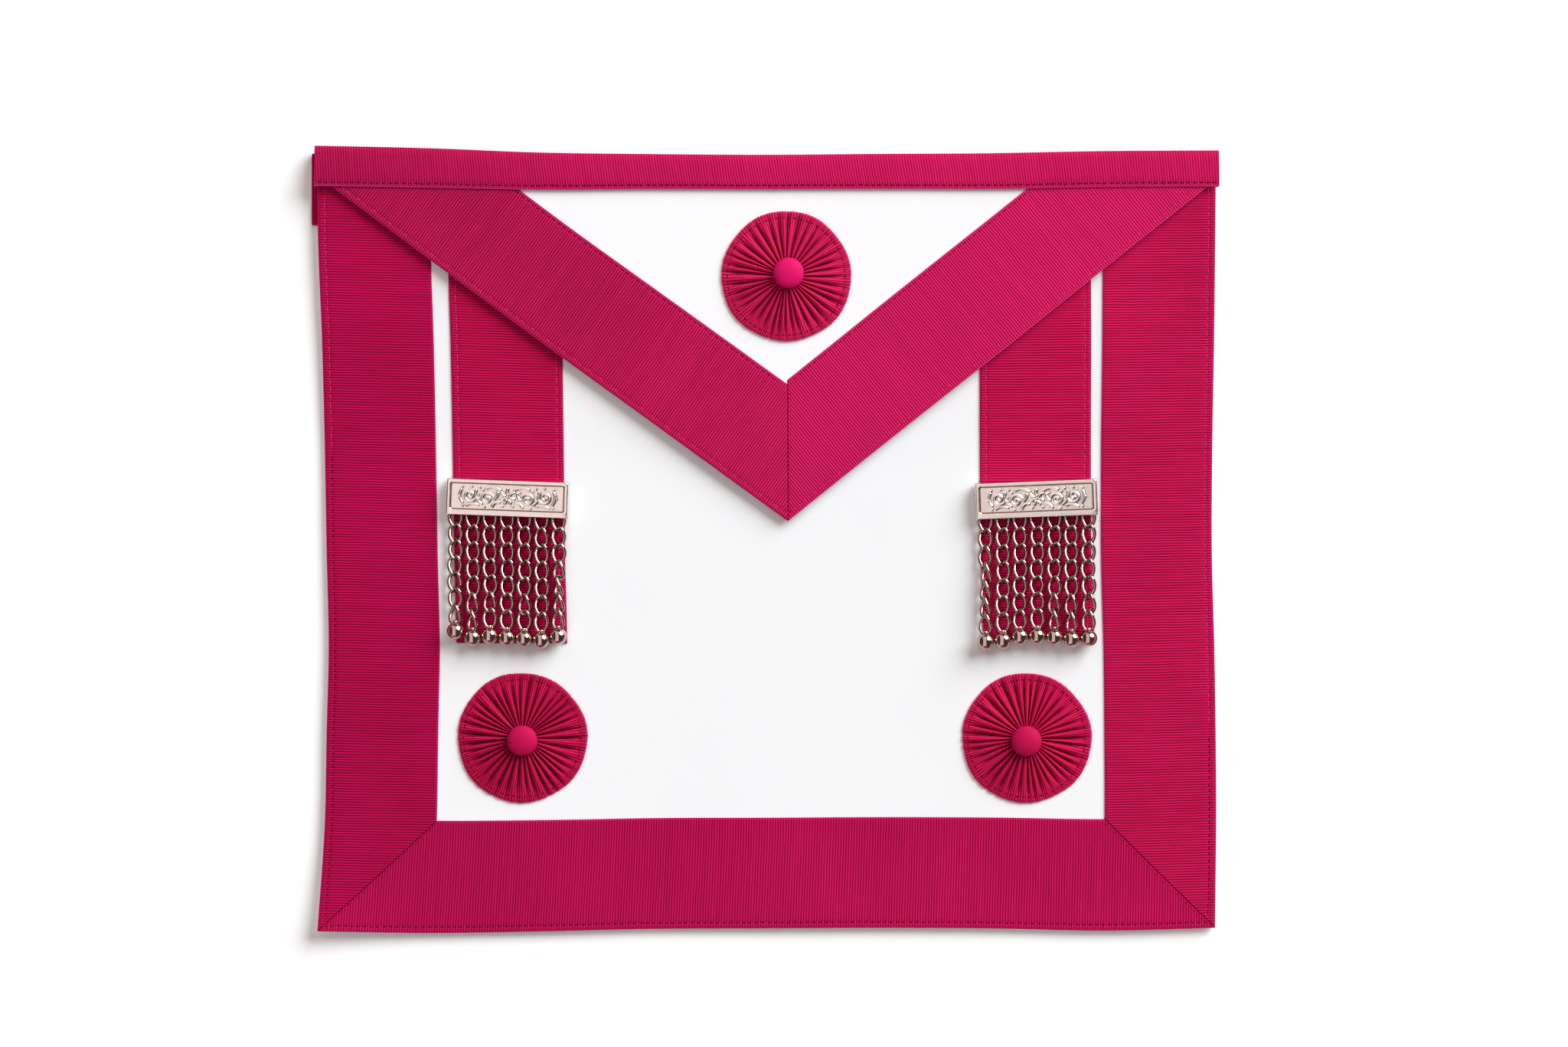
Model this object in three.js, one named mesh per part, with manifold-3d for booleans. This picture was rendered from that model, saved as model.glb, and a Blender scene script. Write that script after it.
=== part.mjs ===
// A ceremonial apron lying on a table: white leather panel, crimson grosgrain borders and flap,
// three pleated rosettes, and two ribbon tassels, each a cast plate with seven chains that end in
// balls. Millimetres, +Z up, waist edge towards +Y. The cloth is cut flat in a pattern frame, x
// across from the middle and y up from the hem, and lay() puts it on the table.
import * as THREE from "three";
import { mergeVertices } from "three/addons/utils/BufferGeometryUtils.js";
import Module from "manifold-3d";

const wasm = await Module();
wasm.setup();

// Apron outline
const BAND_LENGTH = 408; // waist band, end to end
const BODY_WIDTH = 405.4; // leather panel, side to side
const APRON_DEPTH = 356; // waist edge to hem
const RIBBON_WIDTH = 50.8; // two-inch grosgrain on the borders, the flap and the tassels
const BAND_DEPTH = 18; // how far the folded waist ribbon comes down on the front

// Cloth and leather
const RIBBON_THICKNESS = 1;
const BODY_LEATHER = 1.2;
const FLAP_LEATHER = 1;
const LAYER_GAP = 0.3; // between pieces that lie on each other
const SEAM_GAP = 0.4; // between the two ribbons of a mitred corner

// Flap
const FLAP_TIP_X = 8.7; // the point hangs a little right of the middle
const FLAP_LENGTH = 151; // band's lower edge to the point
const FLAP_SEAM = 3.5; // how far the flap goes up behind the band
const FLAP_TIP_RISE = 3.6; // underside of the point above the table
const FLAP_BLUNT = 3; // half width of the leather's cut point, hidden under the ribbons
const FLAP_INSET = 1; // how far the leather's corners at the band stay inside the ribbons'

// Waist belt, folded flat behind the panel
const BELT_WIDTH = 34;
const BELT_TOP_INSET = 2.4; // belt's upper edge below the waist edge
const BELT_PEEK = 2.8; // how far the left fold shows past the band
const BELT_RIGHT_INSET = 8; // how far the right fold stays behind the panel
const BELT_LEG = 60; // sewn end, behind the band
const BELT_REACH = 140; // how far below the waist edge the belt still holds the panel up
const EDGE_LIFT = 1.9; // how far the panel's left corner at the hem stands off the table
const BELT_SPARE = 4; // strap between the right one's sewn end and the clasp
const CLASP_LENGTH = 40;
const CLASP_WIDTH = 22;
const CLASP_THICKNESS = 1;

// Tassels
const CHAINS = 7;
const CHAIN_PITCH = 7.75;
const WIRE_DIAMETER = 1.3;
const LINK_LENGTH = 9.9; // outside, along the chain
const LINK_WIDTH = 6.8; // outside, across it
const LINK_TWIST = Math.PI / 4; // a curb link's end is turned this far each way
const LINK_SLACK = 0.14; // how far short of taut the links lie
const LINKS = 7;
const BALL_DIAMETER = 7.8;
const PLATE_LENGTH = 55;
const PLATE_HEIGHT = 16.6;
const PLATE_RIM = 1.7; // width of the raised frame
const PLATE_RECESS = 1.1; // depth of the panel inside it
const PLATE_WALL = 0.8; // metal over and beside the hollow for the chains
const PEG_SIZE = 1.2; // square pegs in the hollow, which the first links hang on
const PEG_INSET = 1.5; // pegs' middles, in from the plate's lower edge
const SCROLL_RADIUS = 3.1;
const RELIEF_WIRE = 0.9;
const RELIEF_HEIGHT = 0.8;

// Rosettes
const ROSETTE_DIAMETER = 59.5;
const ROSETTE_PLEATS = 30;
const ROSETTE_RIM = 1.3; // thickness of the gathered ribbon at its outer edge
const ROSETTE_CROWN = 3.6; // height of the folds beside the button
const PLEAT_DEPTH = 1.7; // ridge to valley there
const PLEAT_SCALLOP = 0.985; // the valleys' reach at the rim, as a share of the folds'
const BUTTON_DIAMETER = 13.9;
const BUTTON_HEIGHT = 4.2;
const BUTTON_COVER = 0.42; // where the folds start, under the button, as a share of its diameter

// Chords of round pieces
const LINK_SIDES = 10;
const WIRE_SIDES = 5;
const BALL_RINGS = 5;
const CHAIN_TUBE_SIDES = 8;
const CHAIN_TUBE_STEPS = 3;
const BUTTON_SIDES = 12;

// How far the laid panel's sides draw in, in shares of the body width, by height as a share of the
// depth. leftLift is how far the left edge stands off the table, as a share of EDGE_LIFT.
const SIDES = [
  { height: 0, left: 0, right: 0.0005, leftLift: 1 },
  { height: 0.143, left: 0.0078, right: -0.0011, leftLift: 0.9 },
  { height: 0.25, left: 0.0095, right: -0.0005, leftLift: 0.8 },
  { height: 0.36, left: 0.0118, right: 0.001, leftLift: 0.68 },
  { height: 0.48, left: 0.0095, right: 0.0038, leftLift: 0.53 },
  { height: 0.607, left: 0.0075, right: 0.0035, leftLift: 0.37 },
  { height: 0.75, left: 0.0045, right: 0.0016, leftLift: 0.18 },
  { height: 0.8933, left: 0, right: 0.0005, leftLift: 0 },
  { height: 1, left: 0, right: 0, leftLift: 0 },
];

// How far the waist edge sags and the hem rises, in shares of the depth, and the band's depth as a
// share of BAND_DEPTH, by distance across as a share of the band's length.
const EDGES = [
  { across: 0, sag: 0, rise: 0.0028, band: 1.06 },
  { across: 0.1265, sag: 0.0032, rise: 0, band: 1.04 },
  { across: 0.25, sag: 0.0087, rise: 0.002, band: 0.99 },
  { across: 0.375, sag: 0.0106, rise: 0.0052, band: 0.94 },
  { across: 0.5, sag: 0.0115, rise: 0.0059, band: 0.93 },
  { across: 0.625, sag: 0.0104, rise: 0.0066, band: 0.94 },
  { across: 0.75, sag: 0.0095, rise: 0.0058, band: 0.96 },
  { across: 0.8735, sag: 0.0068, rise: 0.003, band: 0.96 },
  { across: 1, sag: 0.006, rise: 0.0066, band: 0.96 },
];

// Where each tassel hangs. gap is the leather that shows between its ribbon and the side border, as a
// share of the ribbon's width, and heights go up from the hem, as shares of the depth. lean turns the
// ribbon and turn the plate, in radians. plateShift moves the plate along itself by a share of its
// length, and drops stretch each chain by a share of the ball's diameter.
const TASSELS = [
  {
    side: "left",
    direction: -1,
    gap: 0.185,
    ribbonEnd: 0.3694,
    lean: 0,
    plateShift: -0.009,
    plateY: 0.5545,
    turn: -0.036,
    linked: true,
    drops: [0.1, 0.46, 0.3, 0.38, 0.4, 0.46, 0.2],
  },
  {
    side: "right",
    direction: 1,
    gap: 0.11,
    ribbonEnd: 0.3722,
    lean: 0.008,
    plateShift: 0.003,
    plateY: 0.5528,
    turn: 0.04,
    linked: false,
    drops: [0.44, 0.42, 0.24, 0.24, 0.34, 0.5, 0.5],
  },
];

// Where each rosette sits, in the same shares, and how far its button is off its middle, in shares of
// the button.
const ROSETTES = [
  { name: "flap", x: 0.0215, y: 0.841, buttonX: 0.07, buttonY: 0.1, onFlap: true },
  { name: "left", x: -0.2718, y: 0.2483, buttonX: 0.01, buttonY: -0.09, onFlap: false },
  { name: "right", x: 0.2896, y: 0.2455, buttonX: -0.02, buttonY: -0.09, onFlap: false },
];

// Scrolls on a plate: place from its middle as shares of the recess, which way they turn, and size.
const SCROLLS = [
  { x: -0.58, y: 0.12, turn: 1, size: 0.9 },
  { x: -0.3, y: -0.12, turn: -1, size: 1 },
  { x: 0.3, y: -0.12, turn: 1, size: 1 },
  { x: 0.58, y: 0.12, turn: -1, size: 0.9 },
];

const BODY_TOP = BODY_LEATHER + LAYER_GAP; // level of what lies on the leather
const BELT_THICKNESS = 2 * RIBBON_THICKNESS + LAYER_GAP;
const BAND_LIFT = BELT_THICKNESS + RIBBON_THICKNESS + 2 * LAYER_GAP; // leather above the table, at the band
const FLAP_LEVEL = BODY_TOP + RIBBON_THICKNESS + LAYER_GAP;
const HINGE_Y = APRON_DEPTH - BAND_DEPTH;
const FLAP_RIBBON_LEVEL = FLAP_LEATHER + LAYER_GAP;

// Chain sizes, from a link's wire middle or from the first link's middle to the ball's, and levels over
// the ribbon that the tassel lies on.
const LINK_END = (LINK_LENGTH - WIRE_DIAMETER) / 2;
const LINK_SIDE = (LINK_WIDTH - WIRE_DIAMETER) / 2;
const LINK_PITCH = LINK_LENGTH - 2 * WIRE_DIAMETER - LINK_SLACK;
const CHAIN_LENGTH = (LINKS - 1) * LINK_PITCH + (LINK_LENGTH + BALL_DIAMETER) / 2 - WIRE_DIAMETER;
const CHAIN_LEVEL = (LINK_SIDE * LINK_TWIST) / 2 + WIRE_DIAMETER / 2; // about half a link's thickness
const PEG_Y = PEG_INSET - PLATE_HEIGHT / 2;
const PEG_TO_LINK = PEG_SIZE / 2 + 2 * LAYER_GAP + WIRE_DIAMETER / 2 - LINK_END; // between their middles
const CHAIN_PLACES = Array.from({ length: CHAINS }, (_, i) => (i - (CHAINS - 1) / 2) * CHAIN_PITCH);
const HOLLOW_DEPTH = CHAIN_LEVEL + WIRE_DIAMETER / 2 + LAYER_GAP;

// The belt holds the top of the panel up: how high, by distance below the waist edge.
const BELT_SLOPE = [
  { below: 0, lift: BAND_LIFT },
  { below: BAND_DEPTH + 1, lift: BAND_LIFT },
  { below: BELT_TOP_INSET + BELT_WIDTH + 2, lift: BELT_THICKNESS + 2 * LAYER_GAP },
  { below: BELT_REACH, lift: 0 },
];

const crimson = { color: 0xb30047, roughness: 0.75, metalness: 0 };
const grosgrain = new THREE.MeshStandardMaterial(crimson);
const coveredButton = new THREE.MeshStandardMaterial({ ...crimson, color: 0xc7005a });
const whiteLeather = new THREE.MeshStandardMaterial({ color: 0xf7f7f5, roughness: 0.5, metalness: 0 });
const nickelPlate = new THREE.MeshStandardMaterial({ color: 0xd8d2cb, roughness: 0.2, metalness: 1 });

// Straight-line value of a column of a table at a place along its first column.
function tableValue(table, key, place, column) {
  const next = table.findIndex((row) => row[key] >= place);
  if (next <= 0) return table[next === 0 ? 0 : table.length - 1][column];
  const [a, b] = [table[next - 1], table[next]];
  return THREE.MathUtils.mapLinear(place, a[key], b[key], a[column], b[column]);
}

const edgeAt = (x, column) => tableValue(EDGES, "across", x / BAND_LENGTH + 0.5, column);
const sideAt = (y, column) => tableValue(SIDES, "height", y / APRON_DEPTH, column);

// How high the leather's underside stands over the table at a place in the pattern.
function panelLift(x, y) {
  const fromLeft = x + BODY_WIDTH / 2;
  const overRibbon = THREE.MathUtils.clamp(1 - fromLeft / RIBBON_WIDTH, 0, 1);
  const edgeLift = EDGE_LIFT * sideAt(y, "leftLift") * overRibbon;
  return tableValue(BELT_SLOPE, "below", APRON_DEPTH - y, "lift") + edgeLift;
}

// Puts a point of the flat pattern on the table, with the draw of the sides, the sag of the waist
// and the rise of the hem.
function lay(x, y, z) {
  const across = x / BODY_WIDTH + 0.5;
  const up = y / APRON_DEPTH;
  const drawIn = sideAt(y, "left") * (1 - across) - sideAt(y, "right") * across;
  const settle = edgeAt(x, "rise") * (1 - up) - edgeAt(x, "sag") * up;
  return new THREE.Vector3(x + drawIn * BODY_WIDTH, y + settle * APRON_DEPTH, z);
}

// Moves every vertex of a geometry to where place(vertex) puts it.
function bend(geometry, place) {
  const position = geometry.attributes.position;
  const vertex = new THREE.Vector3();
  for (let i = 0; i < position.count; i++) {
    const moved = place(vertex.fromBufferAttribute(position, i));
    position.setXYZ(i, moved.x, moved.y, moved.z);
  }
  geometry.computeVertexNormals();
  return geometry;
}

// A strip of cloth laid on the table. stations are cuts across it, each with a point on its left
// and right edge in the pattern, seen from the first station to the last. surface(x, y) gives the
// height of its underside.
function clothStrip(stations, thickness, surface, columns = 1) {
  const last = stations.length - 1;
  const unit = new THREE.BoxGeometry(1, 1, 1, columns, last, 1).translate(0.5, 0.5, 0);
  return bend(unit, (corner) => {
    const [left, right] = stations[Math.round(corner.y * last)];
    const x = THREE.MathUtils.lerp(left[0], right[0], corner.x);
    const y = THREE.MathUtils.lerp(left[1], right[1], corner.x);
    return lay(x, y, surface(x, y) + (corner.z > 0 ? thickness : 0));
  });
}

// Stations written from the outer edge to the inner one, put left to right for the apron's right side too.
const facingUp = (stations, side) => (side < 0 ? stations : stations.map((pair) => pair.toReversed()));

const onLeather = (x, y) => panelLift(x, y) + BODY_TOP;

// The flap is stiff: a plane from the band down to its point.
function underFlap(x, y) {
  const down = THREE.MathUtils.clamp((HINGE_Y - y) / FLAP_LENGTH, 0, 1);
  return THREE.MathUtils.lerp(BAND_LIFT + FLAP_LEVEL, FLAP_TIP_RISE, down);
}
const onFlap = (x, y) => underFlap(x, y) + FLAP_RIBBON_LEVEL;

function meshOf(name, geometry, material) {
  const mesh = new THREE.Mesh(geometry, material);
  mesh.name = name;
  return mesh;
}

// Heights of the rows that the leather and the ribbons on it share, so that their facets stay parallel.
const panelTop = APRON_DEPTH - RIBBON_THICKNESS - 2 * LAYER_GAP;
const slopeHeights = BELT_SLOPE.slice(1).map((row) => APRON_DEPTH - row.below);
const sideHeights = SIDES.map((row) => row.height * APRON_DEPTH);

// Rows between two heights, in rising order.
function rowsBetween(low, high, extra = []) {
  const nearest = 4; // rows closer than this are left out
  const inside = [...sideHeights, ...slopeHeights].filter((y) => y > low + nearest && y < high - nearest);
  const heights = [low, ...inside, ...extra, high].sort((a, b) => a - b);
  const needed = (y) => y === low || y === high || slopeHeights.includes(y);
  return heights.filter((y, i) => needed(y) || y - heights[i - 1] > nearest / 2);
}

function bodyPanel() {
  const half = BODY_WIDTH / 2;
  const places = [0.25, 0.375, 0.5, 0.625, 0.75].map((across) => (across - 0.5) * BAND_LENGTH);
  const columns = [-half, -half + RIBBON_WIDTH, ...places, half - RIBBON_WIDTH, half];
  const heights = rowsBetween(0, panelTop, [RIBBON_WIDTH]);
  const [cellsAcross, cellsUp] = [columns.length - 1, heights.length - 1];
  const unit = new THREE.BoxGeometry(1, 1, 1, cellsAcross, cellsUp, 1).translate(0.5, 0.5, 0);
  return bend(unit, (corner) => {
    const x = columns[Math.round(corner.x * cellsAcross)];
    const y = heights[Math.round(corner.y * cellsUp)];
    return lay(x, y, panelLift(x, y) + (corner.z > 0 ? BODY_LEATHER : 0));
  });
}

// Side border, from its mitre at the hem up behind the band. side is -1 on the left and 1 on the right.
function sideRibbon(side) {
  const outer = (side * BODY_WIDTH) / 2;
  const inner = outer - side * RIBBON_WIDTH;
  const cut = [
    [outer, SEAM_GAP],
    [inner, RIBBON_WIDTH + SEAM_GAP],
  ];
  const aboveCut = RIBBON_WIDTH + 5;
  const straight = rowsBetween(aboveCut, HINGE_Y + FLAP_SEAM).map((y) => [
    [outer, y],
    [inner, y],
  ]);
  return clothStrip(facingUp([cut, ...straight], side), RIBBON_THICKNESS, onLeather);
}

function hemRibbon() {
  const outer = BODY_WIDTH / 2;
  const inner = outer - RIBBON_WIDTH;
  const places = EDGES.slice(2, -2).map((row) => (row.across - 0.5) * BAND_LENGTH);
  const middle = places.map((x) => [
    [x, RIBBON_WIDTH],
    [x, 0],
  ]);
  const stations = [
    [
      [-inner, RIBBON_WIDTH],
      [-outer, 0],
    ],
    ...middle,
    [
      [inner, RIBBON_WIDTH],
      [outer, 0],
    ],
  ];
  return clothStrip(stations, RIBBON_THICKNESS, onLeather);
}

// The waist ribbon's section, folded over the top of the leather: y up from the band's lower edge,
// z from the leather.
function bandSection() {
  const front = FLAP_LEVEL + FLAP_RIBBON_LEVEL + RIBBON_THICKNESS + LAYER_GAP; // inside face, over the flap
  const back = -LAYER_GAP;
  const step = FLAP_SEAM + LAYER_GAP; // the front drops to the leather above the flap
  const panelEdge = BAND_DEPTH - RIBBON_THICKNESS - LAYER_GAP;
  const wall = RIBBON_THICKNESS;
  const shape = new THREE.Shape();
  shape.moveTo(0, back - wall);
  shape.lineTo(panelEdge - wall, back - wall);
  shape.lineTo(BAND_DEPTH, BODY_LEATHER / 2);
  shape.lineTo(panelEdge - wall, BODY_TOP + 2 * wall);
  shape.lineTo(step + 2 * wall, front + wall / 2);
  shape.lineTo(step, front + wall);
  shape.lineTo(0, front + wall);
  shape.lineTo(0, front);
  shape.lineTo(step, front);
  shape.lineTo(panelEdge - 2 * wall, BODY_TOP);
  shape.lineTo(panelEdge, BODY_LEATHER);
  shape.lineTo(panelEdge, 0);
  shape.lineTo(panelEdge - wall, back);
  shape.lineTo(0, back);
  return shape;
}

function waistBand() {
  const steps = 8;
  const geometry = new THREE.ExtrudeGeometry(bandSection(), { depth: 1, steps, bevelEnabled: false });
  return bend(geometry, (corner) => {
    const x = (corner.z - 0.5) * BAND_LENGTH;
    const depth = edgeAt(x, "band");
    const flapPart = FLAP_SEAM + LAYER_GAP;
    const y = corner.x <= flapPart ? BAND_DEPTH * (1 - depth) + corner.x : corner.x;
    return lay(x, HINGE_Y + y, BAND_LIFT + corner.y);
  });
}

// Corners of one half of the flap's ribbon border: side is -1 on the left and 1 on the right.
function flapCorners(side) {
  const top = HINGE_Y + FLAP_SEAM;
  const tip = HINGE_Y - FLAP_LENGTH;
  const topX = side * (BODY_WIDTH / 2 - LAYER_GAP);
  const run = Math.abs(topX - FLAP_TIP_X);
  const slant = Math.hypot(run, top - tip);
  const acrossTop = (RIBBON_WIDTH * slant) / (top - tip); // the ribbon's width, cut along the band
  const downSeam = (RIBBON_WIDTH * slant) / run; // and along the middle seam
  return { top, tip, topX, innerX: topX - side * acrossTop, innerY: tip + downSeam };
}

function flapPanel() {
  const left = flapCorners(-1);
  const right = flapCorners(1);
  const cutY = left.tip + 2 * FLAP_BLUNT;
  const stations = [
    [
      [FLAP_TIP_X - FLAP_BLUNT, cutY],
      [FLAP_TIP_X + FLAP_BLUNT, cutY],
    ],
    [
      [left.topX + FLAP_INSET, left.top],
      [right.topX - FLAP_INSET, right.top],
    ],
  ];
  const columns = 6;
  return clothStrip(stations, FLAP_LEATHER, underFlap, columns);
}

function flapRibbon(side) {
  const { top, tip, topX, innerX, innerY } = flapCorners(side);
  const seamX = FLAP_TIP_X + (side * SEAM_GAP) / 2;
  const edges = [
    [
      [seamX, tip],
      [seamX, innerY],
    ],
    [
      [topX, top],
      [innerX, top],
    ],
  ];
  const steps = 4;
  const stations = Array.from({ length: steps + 1 }, (_, i) =>
    [0, 1].map((edge) =>
      [0, 1].map((axis) => THREE.MathUtils.lerp(edges[0][edge][axis], edges[1][edge][axis], i / steps)),
    ),
  );
  return clothStrip(facingUp(stations, side), RIBBON_THICKNESS, onFlap);
}

// Middle of a tassel's ribbon at a height up from the hem. It swings by lean about the band.
function ribbonMiddle({ direction, gap, lean }, y) {
  const hung = direction * (BODY_WIDTH / 2 - RIBBON_WIDTH * (1.5 + gap));
  return hung + Math.tan(lean) * Math.max(0, HINGE_Y - y);
}

// The ribbon that a tassel's plate is clasped on, from its cut end up behind the band.
function tasselRibbon(place) {
  const half = RIBBON_WIDTH / 2;
  const stations = rowsBetween(place.ribbonEnd * APRON_DEPTH, HINGE_Y + FLAP_SEAM).map((y) => [
    [ribbonMiddle(place, y) - half, y],
    [ribbonMiddle(place, y) + half, y],
  ]);
  return clothStrip(stations, RIBBON_THICKNESS, onLeather);
}

// A closed geometry as a solid for joining and cutting.
function solidOf(geometry) {
  const bare = new THREE.BufferGeometry();
  bare.setAttribute("position", geometry.attributes.position);
  bare.setIndex(geometry.index);
  const merged = mergeVertices(bare, 1e-4);
  return new wasm.Manifold(
    new wasm.Mesh({
      numProp: 3,
      vertProperties: merged.attributes.position.array,
      triVerts: new Uint32Array(merged.index.array),
    }),
  );
}

function geometryOf(solid) {
  const mesh = solid.getMesh();
  const geometry = new THREE.BufferGeometry();
  geometry.setAttribute("position", new THREE.BufferAttribute(mesh.vertProperties, 3));
  geometry.setIndex(new THREE.BufferAttribute(mesh.triVerts, 1));
  geometry.computeVertexNormals();
  return geometry;
}

const solidBox = (size, place) => solidOf(new THREE.BoxGeometry(...size).translate(...place));

// Middle line of a raised scroll: a spiral of one and a half turns.
class ScrollCurve extends THREE.Curve {
  constructor(radius, turn) {
    super();
    this.radius = radius;
    this.turn = turn;
  }
  getPoint(t, target = new THREE.Vector3()) {
    const angle = this.turn * t * 3 * Math.PI;
    const reach = this.radius * (1 - 0.7 * t);
    return target.set(reach * Math.cos(angle), reach * Math.sin(angle), 0);
  }
}

// A ridge with a flat foot along a scroll.
function scroll(radius, turn) {
  const half = RELIEF_WIRE / 2;
  const ridge = new THREE.Shape([
    new THREE.Vector2(-half, -half),
    new THREE.Vector2(half, 0),
    new THREE.Vector2(-half, half),
  ]);
  const options = { steps: 6, bevelEnabled: false, extrudePath: new ScrollCurve(radius, turn) };
  return new THREE.ExtrudeGeometry(ridge, options);
}

// Middle line of a curb link: an oval whose ends are twisted opposite ways, so that a chain of them
// lies flat. The first link's upper half is left flat, to lie in the plate.
class LinkCurve extends THREE.Curve {
  constructor(first) {
    super();
    this.first = first;
  }
  getPoint(t, target = new THREE.Vector3()) {
    const angle = 2 * Math.PI * t + Math.PI / 2 + Math.PI / LINK_SIDES;
    const across = LINK_SIDE * Math.cos(angle);
    const along = Math.sin(angle);
    const twist = LINK_TWIST * (this.first ? Math.min(along, 0) : along);
    return target.set(across * Math.cos(twist), LINK_END * along, across * Math.sin(twist));
  }
}

// Cast plate: a framed panel with scrolls, hollow along its lower edge, where pegs carry the
// chains. Its middle is at the origin and its back at z 0.
function tasselPlate() {
  const floor = HOLLOW_DEPTH + PLATE_WALL;
  const top = floor + PLATE_RECESS;
  const panelLength = PLATE_LENGTH - 2 * PLATE_RIM;
  const panelHeight = PLATE_HEIGHT - 2 * PLATE_RIM;
  const hollowTop = PEG_Y + PEG_TO_LINK + LINK_LENGTH / 2 + LAYER_GAP;
  const hollowHeight = hollowTop + PLATE_HEIGHT; // runs out past the lower edge
  const hollowLength = PLATE_LENGTH - 2 * PLATE_WALL;
  const slab = solidBox([PLATE_LENGTH, PLATE_HEIGHT, top], [0, 0, top / 2]);
  const recess = solidBox([panelLength, panelHeight, 2 * PLATE_RECESS], [0, 0, top]);
  const hollowSize = [hollowLength, hollowHeight, 2 * HOLLOW_DEPTH];
  const hollow = solidBox(hollowSize, [0, hollowTop - hollowHeight / 2, 0]);
  const flower = new THREE.SphereGeometry(SCROLL_RADIUS, 8, 4).scale(1, 1, RELIEF_HEIGHT / SCROLL_RADIUS);
  let plate = slab.subtract(recess).subtract(hollow).add(solidOf(flower.translate(0, 0, floor)));
  for (const x of CHAIN_PLACES) {
    const pegSize = [PEG_SIZE, PEG_SIZE, HOLLOW_DEPTH];
    plate = plate.add(solidBox(pegSize, [x, PEG_Y, (HOLLOW_DEPTH + PLATE_WALL) / 2]));
  }
  for (const { x, y, turn, size } of SCROLLS) {
    const ornament = scroll(SCROLL_RADIUS * size, turn);
    ornament.translate((x * panelLength) / 2, (y * panelHeight) / 2, floor + RELIEF_HEIGHT / 4);
    plate = plate.add(solidOf(ornament));
  }
  return geometryOf(plate);
}

// A place down a chain, from its first link's middle. Its last part climbs to the ball's middle.
function chainPoint(distance, length) {
  const climb = THREE.MathUtils.smoothstep(distance / length, 0.45, 1);
  return new THREE.Vector3(0, -distance, THREE.MathUtils.lerp(CHAIN_LEVEL, BALL_DIAMETER / 2, climb));
}

// The ball at a chain's end.
function chainBall(length) {
  const ball = new THREE.SphereGeometry(BALL_DIAMETER / 2, LINK_SIDES, BALL_RINGS);
  return solidOf(ball.translate(...chainPoint(length, length)));
}

// A chain of curb links that ends in a ball, fused into one body. drop makes it longer, shared out
// over its links.
function linkedChain(drop) {
  const length = CHAIN_LENGTH + drop;
  const stretch = length / CHAIN_LENGTH;
  const pitch = LINK_PITCH * stretch;
  let chain = chainBall(length);
  for (let i = 0; i < LINKS; i++) {
    const place = chainPoint(i * pitch, length);
    const [behind, ahead] = [chainPoint((i - 0.5) * pitch, length), chainPoint((i + 0.5) * pitch, length)];
    const tilt = Math.atan2(ahead.z - behind.z, pitch);
    const curve = new LinkCurve(i === 0);
    const link = new THREE.TubeGeometry(curve, LINK_SIDES, WIRE_DIAMETER / 2, WIRE_SIDES, true);
    chain = chain.add(solidOf(link.scale(1, stretch, 1).rotateX(-tilt).translate(...place)));
  }
  return chain;
}

// A plain tube of a chain's outer size that starts at the plate's lower edge and ends in the same ball.
function plainChain(drop) {
  const length = CHAIN_LENGTH + drop;
  const start = PEG_Y + PEG_TO_LINK + PLATE_HEIGHT / 2 + LAYER_GAP; // below the plate's edge
  const halfThickness = CHAIN_LEVEL - LAYER_GAP;
  const section = new THREE.Shape().absellipse(0, 0, halfThickness, LINK_WIDTH / 2, 0, 2 * Math.PI);
  const places = [0, 0.2, 0.4, 0.6, 0.8, 1].map((share) => THREE.MathUtils.lerp(start, length, share));
  const stops = places.map((distance) => chainPoint(distance, length));
  const path = new THREE.CatmullRomCurve3(stops);
  const steps = CHAIN_TUBE_STEPS;
  const options = { steps, curveSegments: CHAIN_TUBE_SIDES / 2, bevelEnabled: false, extrudePath: path };
  return solidOf(new THREE.ExtrudeGeometry(section, options)).add(chainBall(length));
}

// Plate and chains of one tassel, as named meshes in a group that lies on the ribbon.
function tassel(place) {
  const { side, plateShift, plateY, turn, linked, drops } = place;
  const group = new THREE.Group();
  const plate = meshOf(`tassel_plate_${side}`, tasselPlate(), nickelPlate);
  plate.rotation.z = turn;
  group.add(plate);
  drops.forEach((drop, i) => {
    const chain = (linked ? linkedChain : plainChain)(drop * BALL_DIAMETER);
    const mesh = meshOf(`chain_${side}_${i + 1}`, geometryOf(chain), nickelPlate);
    mesh.position.set(CHAIN_PLACES[i], PEG_Y, 0).applyEuler(plate.rotation);
    mesh.position.y += PEG_TO_LINK;
    group.add(mesh);
  });
  const level = BODY_TOP + RIBBON_THICKNESS + LAYER_GAP;
  const y = plateY * APRON_DEPTH;
  group.position.copy(lay(ribbonMiddle(place, y) + plateShift * PLATE_LENGTH, y, level));
  return group;
}

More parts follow.
